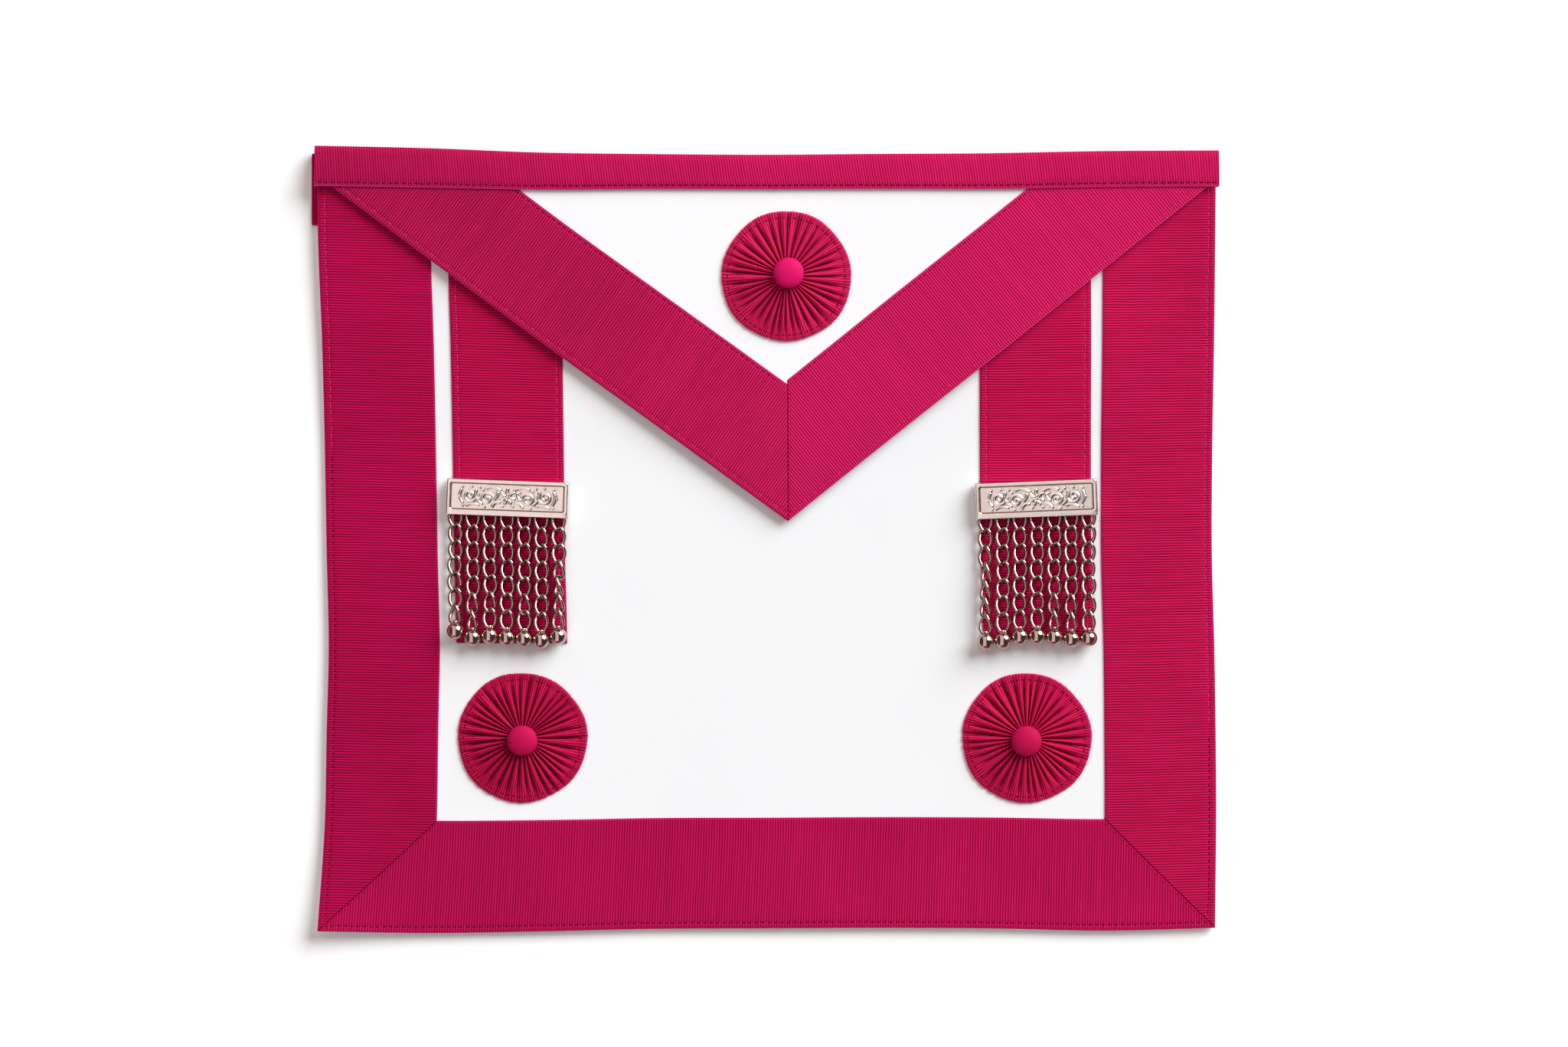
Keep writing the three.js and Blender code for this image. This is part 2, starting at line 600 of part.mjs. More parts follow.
// A ribbon gathered into a disc: folds run out from the middle and flatten towards the rim.
function rosetteGeometry() {
  const radius = ROSETTE_DIAMETER / 2;
  const hub = BUTTON_DIAMETER * BUTTON_COVER;
  const profile = [
    [0, 0],
    [radius, 0],
    [radius, ROSETTE_RIM],
    [hub, ROSETTE_CROWN],
    [0, ROSETTE_CROWN - PLEAT_DEPTH],
  ].map(([r, z]) => new THREE.Vector2(r, z));
  const disc = new THREE.LatheGeometry(profile, 2 * ROSETTE_PLEATS).rotateX(Math.PI / 2);
  return bend(disc, (corner) => {
    const reach = Math.hypot(corner.x, corner.y);
    const turn = Math.round((Math.atan2(corner.y, corner.x) / Math.PI) * ROSETTE_PLEATS);
    const valley = Math.abs(turn % 2) === 1 && corner.z > LAYER_GAP && reach > hub / 2;
    const depth = THREE.MathUtils.mapLinear(reach, hub, radius, PLEAT_DEPTH, ROSETTE_RIM / 3);
    const scallop = valley && reach > hub * 2 ? PLEAT_SCALLOP : 1;
    return corner.set(corner.x * scallop, corner.y * scallop, corner.z - (valley ? depth : 0));
  });
}

// A cloth-covered button: a domed cap on a straight edge.
function buttonGeometry() {
  const radius = BUTTON_DIAMETER / 2;
  const profile = [
    [0, 0],
    [radius * 0.86, 0],
    [radius, BUTTON_HEIGHT * 0.3],
    [radius * 0.8, BUTTON_HEIGHT * 0.75],
    [radius * 0.42, BUTTON_HEIGHT * 0.96],
    [0, BUTTON_HEIGHT],
  ].map(([r, z]) => new THREE.Vector2(r, z));
  return new THREE.LatheGeometry(profile, BUTTON_SIDES).rotateX(Math.PI / 2);
}

// A rosette and its button, on the leather or on the flap, tilted as the flap is.
function rosette({ name, x, y, buttonX, buttonY, onFlap: flap }) {
  const group = new THREE.Group();
  const place = [x * BODY_WIDTH, y * APRON_DEPTH];
  const surface = flap ? onFlap(...place) : onLeather(...place);
  const button = meshOf(`button_${name}`, buttonGeometry(), coveredButton);
  const height = ROSETTE_CROWN + LAYER_GAP;
  button.position.set(buttonX * BUTTON_DIAMETER, buttonY * BUTTON_DIAMETER, height);
  group.add(meshOf(`rosette_${name}`, rosetteGeometry(), grosgrain), button);
  group.position.copy(lay(...place, surface));
  group.rotation.x = flap ? Math.atan((BAND_LIFT + FLAP_LEVEL - FLAP_TIP_RISE) / FLAP_LENGTH) : 0;
  return group;
}

// A strap folded flat on itself: a sewn leg above a long one. fold is the fold's place, and side
// its direction.
function foldedStrap(fold, side, longEnd) {
  const radius = BELT_THICKNESS / 2;
  const inner = LAYER_GAP / 2;
  const turnX = fold - side * radius;
  const shape = new THREE.Shape();
  shape.moveTo(longEnd, 0);
  shape.lineTo(turnX, 0);
  shape.absarc(turnX, radius, radius, -Math.PI / 2, Math.PI / 2, side < 0);
  shape.lineTo(fold - side * BELT_LEG, BELT_THICKNESS);
  shape.lineTo(fold - side * BELT_LEG, BELT_THICKNESS - RIBBON_THICKNESS);
  shape.lineTo(turnX, BELT_THICKNESS - RIBBON_THICKNESS);
  shape.absarc(turnX, radius, inner, Math.PI / 2, -Math.PI / 2, side > 0);
  shape.lineTo(longEnd, RIBBON_THICKNESS);
  const options = { depth: BELT_WIDTH, curveSegments: 4, bevelEnabled: false };
  const strap = new THREE.ExtrudeGeometry(shape, options);
  return strap.rotateX(Math.PI / 2).translate(0, APRON_DEPTH - BELT_TOP_INSET, 0);
}

function beltClasp(x) {
  const y = APRON_DEPTH - BELT_TOP_INSET - BELT_WIDTH / 2;
  const z = RIBBON_THICKNESS + LAYER_GAP + CLASP_THICKNESS / 2;
  return new THREE.BoxGeometry(CLASP_LENGTH, CLASP_WIDTH, CLASP_THICKNESS).translate(x, y, z);
}

const leftFold = -BAND_LENGTH / 2 - BELT_PEEK;
const rightFold = BODY_WIDTH / 2 - BELT_RIGHT_INSET;
const joint = rightFold - BELT_LEG - BELT_SPARE - CLASP_LENGTH / 2; // where the clasp joins the straps

const apron = new THREE.Group();
apron.add(
  meshOf("body_panel", bodyPanel(), whiteLeather),
  meshOf("border_ribbon_left", sideRibbon(-1), grosgrain),
  meshOf("border_ribbon_right", sideRibbon(1), grosgrain),
  meshOf("border_ribbon_hem", hemRibbon(), grosgrain),
  meshOf("waist_band", waistBand(), grosgrain),
  meshOf("flap_panel", flapPanel(), whiteLeather),
  meshOf("flap_ribbon_left", flapRibbon(-1), grosgrain),
  meshOf("flap_ribbon_right", flapRibbon(1), grosgrain),
  meshOf("belt_strap_left", foldedStrap(leftFold, -1, joint - LAYER_GAP), grosgrain),
  meshOf("belt_strap_right", foldedStrap(rightFold, 1, joint + LAYER_GAP), grosgrain),
  meshOf("belt_clasp", beltClasp(joint), nickelPlate),
);
for (const place of TASSELS) {
  apron.add(meshOf(`tassel_ribbon_${place.side}`, tasselRibbon(place), grosgrain), tassel(place));
}
for (const place of ROSETTES) apron.add(rosette(place));

// The origin is under the middle of the laid apron.
const extent = new THREE.Box3().setFromObject(apron);
const middle = extent.getCenter(new THREE.Vector3());
apron.position.set(-middle.x, -middle.y, -extent.min.z);

export default apron;
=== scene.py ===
"""Looks of a ceremonial apron that lies on a pale table, seen from straight above.

White leather is bordered with crimson grosgrain ribbon. A ribboned flap hangs from a folded waist
band, three rosettes of pleated ribbon have covered buttons, and two ribbon tassels carry cast plates
with curb chains. Shapes are worked out in millimetres, most of them in the pattern frame that the
cloth is cut in: x across from the middle and y up from the hem.
"""
import math

import bpy
import numpy as np
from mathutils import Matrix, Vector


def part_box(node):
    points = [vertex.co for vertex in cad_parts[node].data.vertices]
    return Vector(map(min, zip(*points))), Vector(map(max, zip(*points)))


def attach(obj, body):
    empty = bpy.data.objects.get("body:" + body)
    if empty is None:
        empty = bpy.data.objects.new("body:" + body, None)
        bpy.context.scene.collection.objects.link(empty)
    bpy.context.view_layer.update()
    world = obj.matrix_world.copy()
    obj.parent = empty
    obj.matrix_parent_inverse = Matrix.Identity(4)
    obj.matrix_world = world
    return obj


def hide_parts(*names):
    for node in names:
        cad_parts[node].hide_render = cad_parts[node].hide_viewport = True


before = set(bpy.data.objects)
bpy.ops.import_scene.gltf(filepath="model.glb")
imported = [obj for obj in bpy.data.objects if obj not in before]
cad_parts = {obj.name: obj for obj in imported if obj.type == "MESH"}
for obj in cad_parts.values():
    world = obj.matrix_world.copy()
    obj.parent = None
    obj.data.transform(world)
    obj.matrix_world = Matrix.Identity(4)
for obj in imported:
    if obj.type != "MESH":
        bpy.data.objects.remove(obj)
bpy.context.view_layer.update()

MM = 0.001


def cad(node):
    """A CAD node's lowest and highest corner in millimetres."""
    low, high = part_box(node)
    return np.array(low) / MM, np.array(high) / MM


# The CAD model's sizes in millimetres
BAND_LENGTH = 408
BODY_WIDTH = 405.4
APRON_DEPTH = 356
RIBBON_WIDTH = 50.8
BAND_DEPTH = 18
HINGE_Y = APRON_DEPTH - BAND_DEPTH
RIBBON_TOP = HINGE_Y + 3.5  # where the flap, borders and tassels end behind the band
BAND_LIFT = 3.9
FLAP_TIP = np.array([8.7, HINGE_Y - 151])
FLAP_HEEL_LIFT, FLAP_TIP_LIFT = 6.7, 3.6
EDGE_LIFT = 1.9
ROSETTE_RADIUS = 29.75
BUTTON_RADIUS = 6.95
BUTTON_HEIGHT = 4.2
CHAINS = 7
CHAIN_PITCH = 7.75
LINKS = 7
LINK_END, LINK_SIDE = 4.3, 2.75
LINK_TWIST = math.pi / 4
LINK_PITCH = 7.16
LINK_LEVEL = 1.73  # a flat link's middle over the plate's back
CHAIN_LENGTH = 50.51
BALL_RADIUS = 3.9
PEG_Y, PEG_HALF = -6.8, 0.6
FIRST_LINK = 2.45  # from the peg down to the first link's middle
PLATE_HALF = np.array([27.5, 8.3])
HOLLOW_DEPTH, HOLLOW_TOP, HOLLOW_HALF = 2.68, -4.0, 26.7

# Not in the CAD model: thicker wire, and a hem and a lower left corner that stand up a little
WIRE_RADIUS = 0.84
HEM_LIFT, CORNER_LIFT = 1.5, 2.2

# Thin cloth lies closer than the CAD model's layers do, inside the same heights.
LEATHER = 1.2
FLAP_LEATHER = 0.9
CLOTH = 0.85
THINNEST = 0.08
CLOSE = 0.05  # between cloth and what it is sewn on
MEET = 0.03  # how far two folded ends press into each other at a seam

# A ribbon's edges are rounded off within EDGE_ROUND, and cloth is drawn in along a seam.
EDGE_DROP, EDGE_ROUND, SEAM_DIP = 0.35, 0.9, 0.22

# Seams' distances from the ribbons' edges
SIDE_SEAM, HEM_SEAM, BAND_SEAM, TASSEL_SEAM = 3.2, 2.7, 1.8, 2.9
FLAP_SEAM, FLAP_INNER_SEAM = 2.6, 1.6

# Origin of the pattern frame on the table
MIDDLE_X = float(np.mean([corner[0] for corner in cad("waist_band")]))
HEM_Y = float(cad("body_panel")[0][1])

# How far the sides draw in, as shares of the width, by height as a share of the depth, and the left
# edge's lift as a share of EDGE_LIFT
HEIGHTS = np.array([0, 0.143, 0.25, 0.36, 0.48, 0.607, 0.75, 0.8933, 1])
DRAW_LEFT = np.array([0, 0.0078, 0.0095, 0.0118, 0.0095, 0.0075, 0.0045, 0, 0])
DRAW_RIGHT = np.array([0.0005, -0.0011, -0.0005, 0.001, 0.0038, 0.0035, 0.0016, 0.0005, 0])
LEFT_LIFT = np.array([1, 0.9, 0.8, 0.68, 0.53, 0.37, 0.18, 0, 0])

# Sag of the waist edge and rise of the hem, as shares of the depth, and the band's depth as a share
# of BAND_DEPTH, by distance across as a share of the band's length
ACROSS = np.array([0, 0.1265, 0.25, 0.375, 0.5, 0.625, 0.75, 0.8735, 1])
SAG = np.array([0, 0.0032, 0.0087, 0.0106, 0.0115, 0.0104, 0.0095, 0.0068, 0.006])
RISE = np.array([0.0028, 0, 0.002, 0.0052, 0.0059, 0.0066, 0.0058, 0.003, 0.0066])
BAND_SHARE = np.array([1.06, 1.04, 0.99, 0.94, 0.93, 0.94, 0.96, 0.96, 0.96])

# The belt holds the top of the leather up: how high, by distance below the waist edge
BELOW = np.array([0, 19, 38.4, 140])
BELT_LIFT = np.array([3.9, 3.9, 2.9, 0])

# gap is to the border and a share of the ribbon's width, end is a share of the depth, lean and turn
# are radians, and beside is how far to the side of its CAD nodes a piece is drawn, in millimetres
TASSELS = {
    "left": {"direction": -1, "gap": 0.185, "end": 0.3694, "lean": 0, "turn": -0.036, "beside": -1.8},
    "right": {"direction": 1, "gap": 0.11, "end": 0.3722, "lean": 0.008, "turn": 0.04, "beside": 0.0},
}
# Places as shares of the width and depth
ROSETTES = {
    "flap": {"x": 0.0215, "y": 0.841, "beside": 0.0, "seed": 3},
    "left": {"x": -0.2718, "y": 0.2483, "beside": -3.3, "seed": 8},
    "right": {"x": 0.2896, "y": 0.2455, "beside": -1.0, "seed": 21},
}

# Degrees that single links are rolled round their chain, by (chain, link), both from 1
LINK_ROLLS = {
    "left": {(1, 7): 42, (2, 6): 40, (2, 7): 62, (3, 6): 28, (5, 6): 34, (6, 2): 20, (7, 4): 42,
             (7, 5): 70, (7, 6): 62, (7, 7): 40},
    "right": {(1, 3): 30, (1, 4): 58, (1, 5): 66, (1, 6): 62, (1, 7): 48, (3, 7): 24, (5, 5): 30,
              (5, 6): 48, (5, 7): 60, (6, 6): 38, (6, 7): 56, (7, 6): 34, (7, 7): 30},
}


# Shapes


def table(places, values, at):
    """Smooth curve through a table: cubic Hermite pieces whose slopes are those of the table."""
    slopes = np.gradient(values, places)
    i = np.clip(np.searchsorted(places, at) - 1, 0, len(places) - 2)
    step = places[i + 1] - places[i]
    t = np.clip((at - places[i]) / step, 0, 1)
    start = (1 + 2 * t) * (1 - t) ** 2 * values[i] + t * (1 - t) ** 2 * step * slopes[i]
    return start + (3 - 2 * t) * t**2 * values[i + 1] + (t - 1) * t**2 * step * slopes[i + 1]


def smoothstep(low, high, value):
    """0 below low, 1 above high, and the cubic 3t^2 - 2t^3 between them."""
    t = np.clip((value - low) / (high - low), 0, 1)
    return t * t * (3 - 2 * t)


def lay(x, y):
    """Pattern to table: each point moves across by the draw of the two sides, weighted by how near
    each is, and up or down by the rise of the hem and the sag of the waist, weighted by height."""
    across, up = x / BODY_WIDTH + 0.5, y / APRON_DEPTH
    share = x / BAND_LENGTH + 0.5
    draw = table(HEIGHTS, DRAW_LEFT, up) * (1 - across) - table(HEIGHTS, DRAW_RIGHT, up) * across
    settle = table(ACROSS, RISE, share) * (1 - up) - table(ACROSS, SAG, share) * up
    return x + draw * BODY_WIDTH + MIDDLE_X, y + settle * APRON_DEPTH + HEM_Y


def panel_lift(x, y):
    """Leather's underside over the table: the belt's height, averaged over 18 mm so that it has no
    creases, the lift of the left edge, of the hem and of the corner between them, and a few long low
    waves."""
    below = APRON_DEPTH - y
    belt = np.mean([np.interp(below + shift, BELOW, BELT_LIFT) for shift in range(-9, 10, 3)], axis=0)
    from_left = np.clip(1 - (x + BODY_WIDTH / 2) / RIBBON_WIDTH, 0, 1)
    edge = EDGE_LIFT * table(HEIGHTS, LEFT_LIFT, y / APRON_DEPTH) * from_left**1.5
    edge = edge + HEM_LIFT * np.clip(1 - y / 45, 0, 1) ** 1.5
    from_corner = np.clip(1 - (x + BODY_WIDTH / 2) / 70, 0, 1) * np.clip(1 - y / 70, 0, 1)
    edge = edge + CORNER_LIFT * from_corner**1.5
    free = smoothstep(30, 90, below)
    waves = np.sin(x / 23 + 1.3 * np.sin(y / 37)) * np.sin(y / 31 + 0.6) + np.sin(x / 41 - y / 53)
    return belt + edge + free * 0.1 * (waves + 2)


def on_leather(x, y):
    return panel_lift(x, y) + LEATHER


def under_flap(x, y):
    """The flap is a plane from the band down to its point, with a slight wave along its length."""
    down = np.clip((HINGE_Y - y) / (HINGE_Y - FLAP_TIP[1]), 0, 1)
    wave = 0.12 * np.sin(x / 19 + y / 29) * smoothstep(0, 0.3, down)
    return FLAP_HEEL_LIFT + (FLAP_TIP_LIFT - FLAP_HEEL_LIFT) * down + wave


def on_flap(x, y):
    return under_flap(x, y) + FLAP_LEATHER


def quads(rows, columns, around=False, over=False):
    """Faces of a grid of points counted row by row. around joins each row's end to its start, and
    over joins the last row to the first."""
    i, j = np.meshgrid(
        np.arange(rows if over else rows - 1), np.arange(columns if around else columns - 1), indexing="ij"
    )
    k, n = (j + 1) % columns, (i + 1) % rows
    return np.stack([i * columns + j, i * columns + k, n * columns + k, n * columns + j], -1).reshape(-1, 4)


def outward(points, faces):
    """Turns a closed shell's faces outwards, by the sign of the volume summed over its triangles."""
    volume, centre = 0.0, points.mean(0)
    for face in faces:
        for k in range(1, face.shape[1] - 1):
            a, b, c = (points[face[:, corner]] - centre for corner in (0, k, k + 1))
            volume += np.einsum("ij,ij->", a, np.cross(b, c))
    return faces if volume > 0 else [face[:, ::-1] for face in faces]


def slab(top, bottom):
    """Closed shell between two grids of points of one size, joined by a wall round their rims."""
    rows, columns = top.shape[:2]
    index = np.arange(rows * columns).reshape(rows, columns)
    rim = np.concatenate([index[0, :-1], index[:-1, -1], index[-1, :0:-1], index[:0:-1, 0]])
    ahead, under = np.roll(rim, -1), rows * columns
    face = quads(rows, columns)
    wall = np.stack([ahead, rim, rim + under, ahead + under], -1)
    points = np.concatenate([top.reshape(-1, 3), bottom.reshape(-1, 3)])
    return points, outward(points, [face, face[:, ::-1] + under, wall])


def layer(laid, top, bottom):
    """Closed shell between two heights over one grid of places on the table."""
    return slab(np.stack([*laid, top], -1), np.stack([*laid, bottom], -1))


def cloth_map(near, along):
    """Places on a ribbon, once for each side of a slab: distances to the nearest edge and along."""
    place = np.stack(np.broadcast_arrays(near, along), -1).reshape(-1, 2)
    return np.concatenate([place, place])


def turned(profile, segments):
    """Surface of revolution: each (radius, height) of the profile goes round in a ring, and its two
    ends are poles."""
    profile = np.array(profile, float)
    turn = np.linspace(0, 2 * np.pi, segments, endpoint=False)
    rings = profile[1:-1]
    circle = np.stack([np.cos(turn), np.sin(turn), np.zeros(segments)], -1)
    points = rings[:, None, :1] * circle + rings[:, None, 1:] * np.array([0, 0, 1])
    ends = [[0, 0, profile[0, 1]], [0, 0, profile[-1, 1]]]
    points = np.concatenate([points.reshape(-1, 3), ends])
    first = np.arange(segments)
    ahead, last = (first + 1) % segments, len(rings) * segments
    caps = [
        np.stack([ahead, first, np.full(segments, last)], -1),
        np.stack([first + last - segments, ahead + last - segments, np.full(segments, last + 1)], -1),
    ]
    return points, outward(points, [quads(len(rings), segments, around=True), *caps])


def gather(shells):
    """Several shells as one set of points and faces."""
    starts = np.cumsum([0] + [len(points) for points, _ in shells])
    faces = [face + start for (_, group), start in zip(shells, starts) for face in group]
    return np.concatenate([points for points, _ in shells]), faces


def repeated(faces, copies, size):
    """Faces of a shape of size points, once for each of its copies."""
    start = np.arange(copies)[:, None, None] * size
    return [(face[None] + start).reshape(-1, face.shape[1]) for face in faces]


def piece(name, shell, material, cloth=None, crease=40, **values):
    """Puts a shell into a mesh. cloth holds each point's place on its ribbon in millimetres, as
    distance to the nearest long edge and distance along, and values are further point attributes."""
    points, faces = shell
    mesh = bpy.data.meshes.new(name)
    corners = np.concatenate([face.ravel() for face in faces])
    sizes = np.concatenate([np.full(len(face), face.shape[1]) for face in faces])
    mesh.vertices.add(len(points))
    mesh.vertices.foreach_set("co", (points * MM).ravel())
    mesh.loops.add(len(corners))
    mesh.loops.foreach_set("vertex_index", corners)
    mesh.polygons.add(len(sizes))
    mesh.polygons.foreach_set("loop_start", np.cumsum(sizes) - sizes)
    mesh.update(calc_edges=True)
    mesh.polygons.foreach_set("use_smooth", np.ones(len(sizes), bool))
    if cloth is not None:
        layer = mesh.uv_layers.new(name="cloth")
        layer.data.foreach_set("uv", np.asarray(cloth, np.float32)[corners].ravel())
    for key, value in values.items():
        mesh.attributes.new(key, "FLOAT", "POINT").data.foreach_set("value", value.astype(np.float32))
    mesh.validate()
    mesh.set_sharp_from_angle(angle=math.radians(crease))
    made = bpy.data.objects.new(name, mesh)
    bpy.context.scene.collection.objects.link(made)
    mesh.materials.append(material)
    return made


# Distances across a ribbon: close together at both edges, where it is sewn, and even between
NEAR_EDGE = np.array([0, 0.25, 0.6, 1.2, 1.9, 2.5, 3, 3.5, 4, 4.8, 6.5])
BETWEEN = np.linspace(NEAR_EDGE[-1], RIBBON_WIDTH - NEAR_EDGE[-1], 12)[1:-1]
COLUMNS = np.concatenate([NEAR_EDGE, BETWEEN, (RIBBON_WIDTH - NEAR_EDGE)[::-1]])

# Distances from a cut end, where the cloth is folded under
NEAR_CUT = np.array([0, 0.15, 0.35, 0.6, 0.9, 1.3])


def ribbon(x, y, across, along, surface, seams, thickness):
    """A ribbon that lies on a surface: its underside follows the surface, and its upper side is one
    thickness above it, rounded off at both edges and drawn in by a small dip round each seam. Returns
    the shell and its cloth map."""
    near = np.minimum(across, RIBBON_WIDTH - across)
    drop = EDGE_DROP * (1 - smoothstep(0, EDGE_ROUND, near))
    for sewn in seams:
        drop = drop + SEAM_DIP * np.exp(-(((across - sewn) / 0.7) ** 2))
    bottom = surface(x, y) + CLOSE
    top = bottom + np.maximum(thickness - drop, THINNEST)
    return layer(lay(x, y), top, bottom), cloth_map(near, along)


def from_cut(start, end, rows):
    """Places along a ribbon from a cut: a few close to it, where the end is folded under, then even."""
    way = np.sign(end - start)
    first = start + way * NEAR_CUT[-1]
    even = first + (end - first) * np.linspace(0, 1, rows)[1:, None]
    return np.concatenate([start + way * NEAR_CUT[:, None], even])


def folded_end(distance):
    """How far the upper side is lower near a folded end, where the cloth turns under."""
    return 0.8 * (1 - smoothstep(0, 0.55, distance))


def side_border(side):
    """Side border: rows go straight up from the mitre, so each column starts at its own height."""
    start = COLUMNS - MEET
    x, y = side * (BODY_WIDTH / 2 - COLUMNS), from_cut(start, np.full(len(COLUMNS), RIBBON_TOP), 110)
    return ribbon(x, y, COLUMNS, y, on_leather, [SIDE_SEAM], CLOTH - folded_end(y - start))


def hem_border():
    """Hem border: columns go across from one mitre to the other."""
    half = BODY_WIDTH / 2 - COLUMNS + MEET
    right = from_cut(half, np.zeros(len(COLUMNS)), 70)[::-1]
    x = np.concatenate([-right[:0:-1], right])
    return ribbon(x, COLUMNS, COLUMNS, x, on_leather, [HEM_SEAM], CLOTH - folded_end(half - np.abs(x)))


def flap_frame(side):
    """Direction along a flap ribbon from the point to the band, and the one across it, inwards."""
    corner = np.array([side * (BODY_WIDTH / 2 - 0.3), RIBBON_TOP])
    along = (corner - FLAP_TIP) / np.linalg.norm(corner - FLAP_TIP)
    return along, np.array([-side * along[1], side * along[0]])


def flap_border(side):
    """Flap ribbon: a band at the flap's slant, cut upright at the middle seam and level at the top."""
    run, inward = flap_frame(side)
    first = (-side * MEET - inward[0] * COLUMNS) / run[0]
    last = (RIBBON_TOP - FLAP_TIP[1] - inward[1] * COLUMNS) / run[1]
    along = from_cut(first, last, 90)
    x, y = (FLAP_TIP[k] + run[k] * along + inward[k] * COLUMNS for k in (0, 1))
    seams = [FLAP_SEAM, RIBBON_WIDTH - FLAP_INNER_SEAM]
    return ribbon(x, y, COLUMNS, along, on_flap, seams, CLOTH - folded_end(along - first))


def tassel_middle(place, y):
    """Middle of a tassel's ribbon at a height: it hangs from the band and leans a little."""
    hung = place["direction"] * (BODY_WIDTH / 2 - RIBBON_WIDTH * (1.5 + place["gap"])) + place["beside"]
    return hung + math.tan(place["lean"]) * np.maximum(0, HINGE_Y - y)


def tassel_border(place):
    """Tassel ribbon: rows go down from the band to the folded end, which is a little thicker."""
    y = np.linspace(place["end"] * APRON_DEPTH, RIBBON_TOP, 90)[:, None]
    x, above = tassel_middle(place, y) - RIBBON_WIDTH / 2 + COLUMNS, y - y[0]
    fold = 0.3 * (1 - smoothstep(5.5, 6.5, above)) - EDGE_DROP * (1 - smoothstep(0, EDGE_ROUND, above))
    return ribbon(x, y, COLUMNS, y, on_leather, [TASSEL_SEAM, RIBBON_WIDTH - TASSEL_SEAM], CLOTH + fold)


def leather_body():
    """Leather: two grids of one size, a leather's thickness apart, cut to the pattern."""
    x, y = np.meshgrid(
        np.linspace(-BODY_WIDTH / 2, BODY_WIDTH / 2, 120), np.linspace(0, APRON_DEPTH - 1.6, 110)
    )
    under = panel_lift(x, y)
    return layer(lay(x, y), under + LEATHER, under)


def leather_flap():
    """Flap leather: each row goes across between the two slanting edges, just inside the ribbons'."""
    y = np.linspace(FLAP_TIP[1] + 5, RIBBON_TOP, 70)[:, None]
    share = (y - FLAP_TIP[1]) / (RIBBON_TOP - FLAP_TIP[1])
    left, right = (FLAP_TIP[0] + (side * (BODY_WIDTH / 2 - 1.3) - FLAP_TIP[0]) * share for side in (-1, 1))
    x = left + (right - left) * np.linspace(0, 1, 90)
    under = under_flap(x, y)
    return layer(lay(x, y), under + FLAP_LEATHER, under)


def lengths(path):
    """How far along a line each of its points is."""
    return np.concatenate([[0], np.cumsum(np.linalg.norm(np.diff(path, axis=0), axis=1))])


def along_path(path, steps):
    """Even places along a line by its length, the points there, and the direction to the line's left
    at each."""
    path = np.array(path, float)
    run = lengths(path)
    places = np.linspace(0, run[-1], steps)
    points = np.stack([np.interp(places, run, column) for column in path.T], -1)
    for _ in range(2):  # each point becomes the mean of itself and its neighbours, to round corners
        points[1:-1] = (points[:-2] + 2 * points[1:-1] + points[2:]) / 4
    heading = np.gradient(points, axis=0)
    heading /= np.linalg.norm(heading, axis=1)[:, None]
    return places, points, np.stack([-heading[:, 1], heading[:, 0]], -1)


def band_rise(x):
    """How much higher the band's front edge is than BAND_DEPTH puts it, by the table of its depth."""
    return BAND_DEPTH * (1 - table(ACROSS, BAND_SHARE, x / BAND_LENGTH + 0.5))


def waist_band():
    """Waist band: a folded section, offset half a thickness to either side of its middle line, is
    carried across the apron. Its front edge goes up by band_rise."""
    front = FLAP_HEEL_LIFT - BAND_LIFT + FLAP_LEATHER + 2 * CLOSE + 1.5 * CLOTH
    middle = [(0, front), (5, front - 0.2), (10, front - 0.9), (14.5, 3.2), (16.6, 2.1), (17.2, 0.8)]
    run, points, normal = along_path([*middle, (16.2, -0.55), (12, -0.75), (0, -0.75)], 64)
    near = np.minimum(run, run[-1] - run)
    half = CLOTH / 2 - 0.25 * (1 - smoothstep(0, EDGE_ROUND, near))
    dip = SEAM_DIP * np.exp(-(((run - BAND_SEAM) / 0.6) ** 2))
    x = np.linspace(-BAND_LENGTH / 2, BAND_LENGTH / 2, 130)[:, None]
    sides = []
    for offset in (half - dip, -half):
        section = points + normal * offset[:, None]
        y = HINGE_Y + section[:, 0] + band_rise(x) * (1 - smoothstep(0, 8, section[:, 0]))
        wave = 0.12 * np.sin(x / 17) * smoothstep(2, 8, section[:, 0])
        sides.append(np.stack([*lay(x, y), BAND_LIFT + section[:, 1] + wave], -1))
    slant = 0.16 * (1 - 0.6 * (2 * x / BAND_LENGTH) ** 2) * points[:, 0]
    return slab(*sides), cloth_map(near, x + slant)


def belt_strap(node, side):
    """Belt strap: a long leg on the table and a sewn leg on it, joined by a half turn at the fold,
    carried across the belt's width, whose upper edge keeps below the sagging waist. side is the fold's
    direction."""
    low, high = cad(node)
    fold, far = (low[0], high[0]) if side < 0 else (high[0], low[0])
    level, radius = 1.15, 0.65
    bend = [
        (fold - side * (level - radius * math.cos(angle)), level + radius * math.sin(angle))
        for angle in np.linspace(-np.pi / 2, np.pi / 2, 9)
    ]
    legs = (far, level - radius), (fold - side * 60, level + radius)
    run, points, normal = along_path([legs[0], *bend, legs[1]], 240)
    waist = lay(points[:, 0] - MIDDLE_X, np.full(len(run), HINGE_Y + 14.0))[1]
    top = np.minimum(high[1], waist)[:, None]
    y = low[1] + (top - low[1]) * np.linspace(0, 1, 12)
    near = np.minimum(y - low[1], top - y)
    half = 0.42 - 0.2 * (1 - smoothstep(0, EDGE_ROUND, near))
    sides = []
    for offset in (half, -half):
        x, z = (points[:, k : k + 1] + normal[:, k : k + 1] * offset for k in (0, 1))
        sides.append(np.stack([x, y, z], -1))
    return slab(*sides), cloth_map(near, run[:, None])


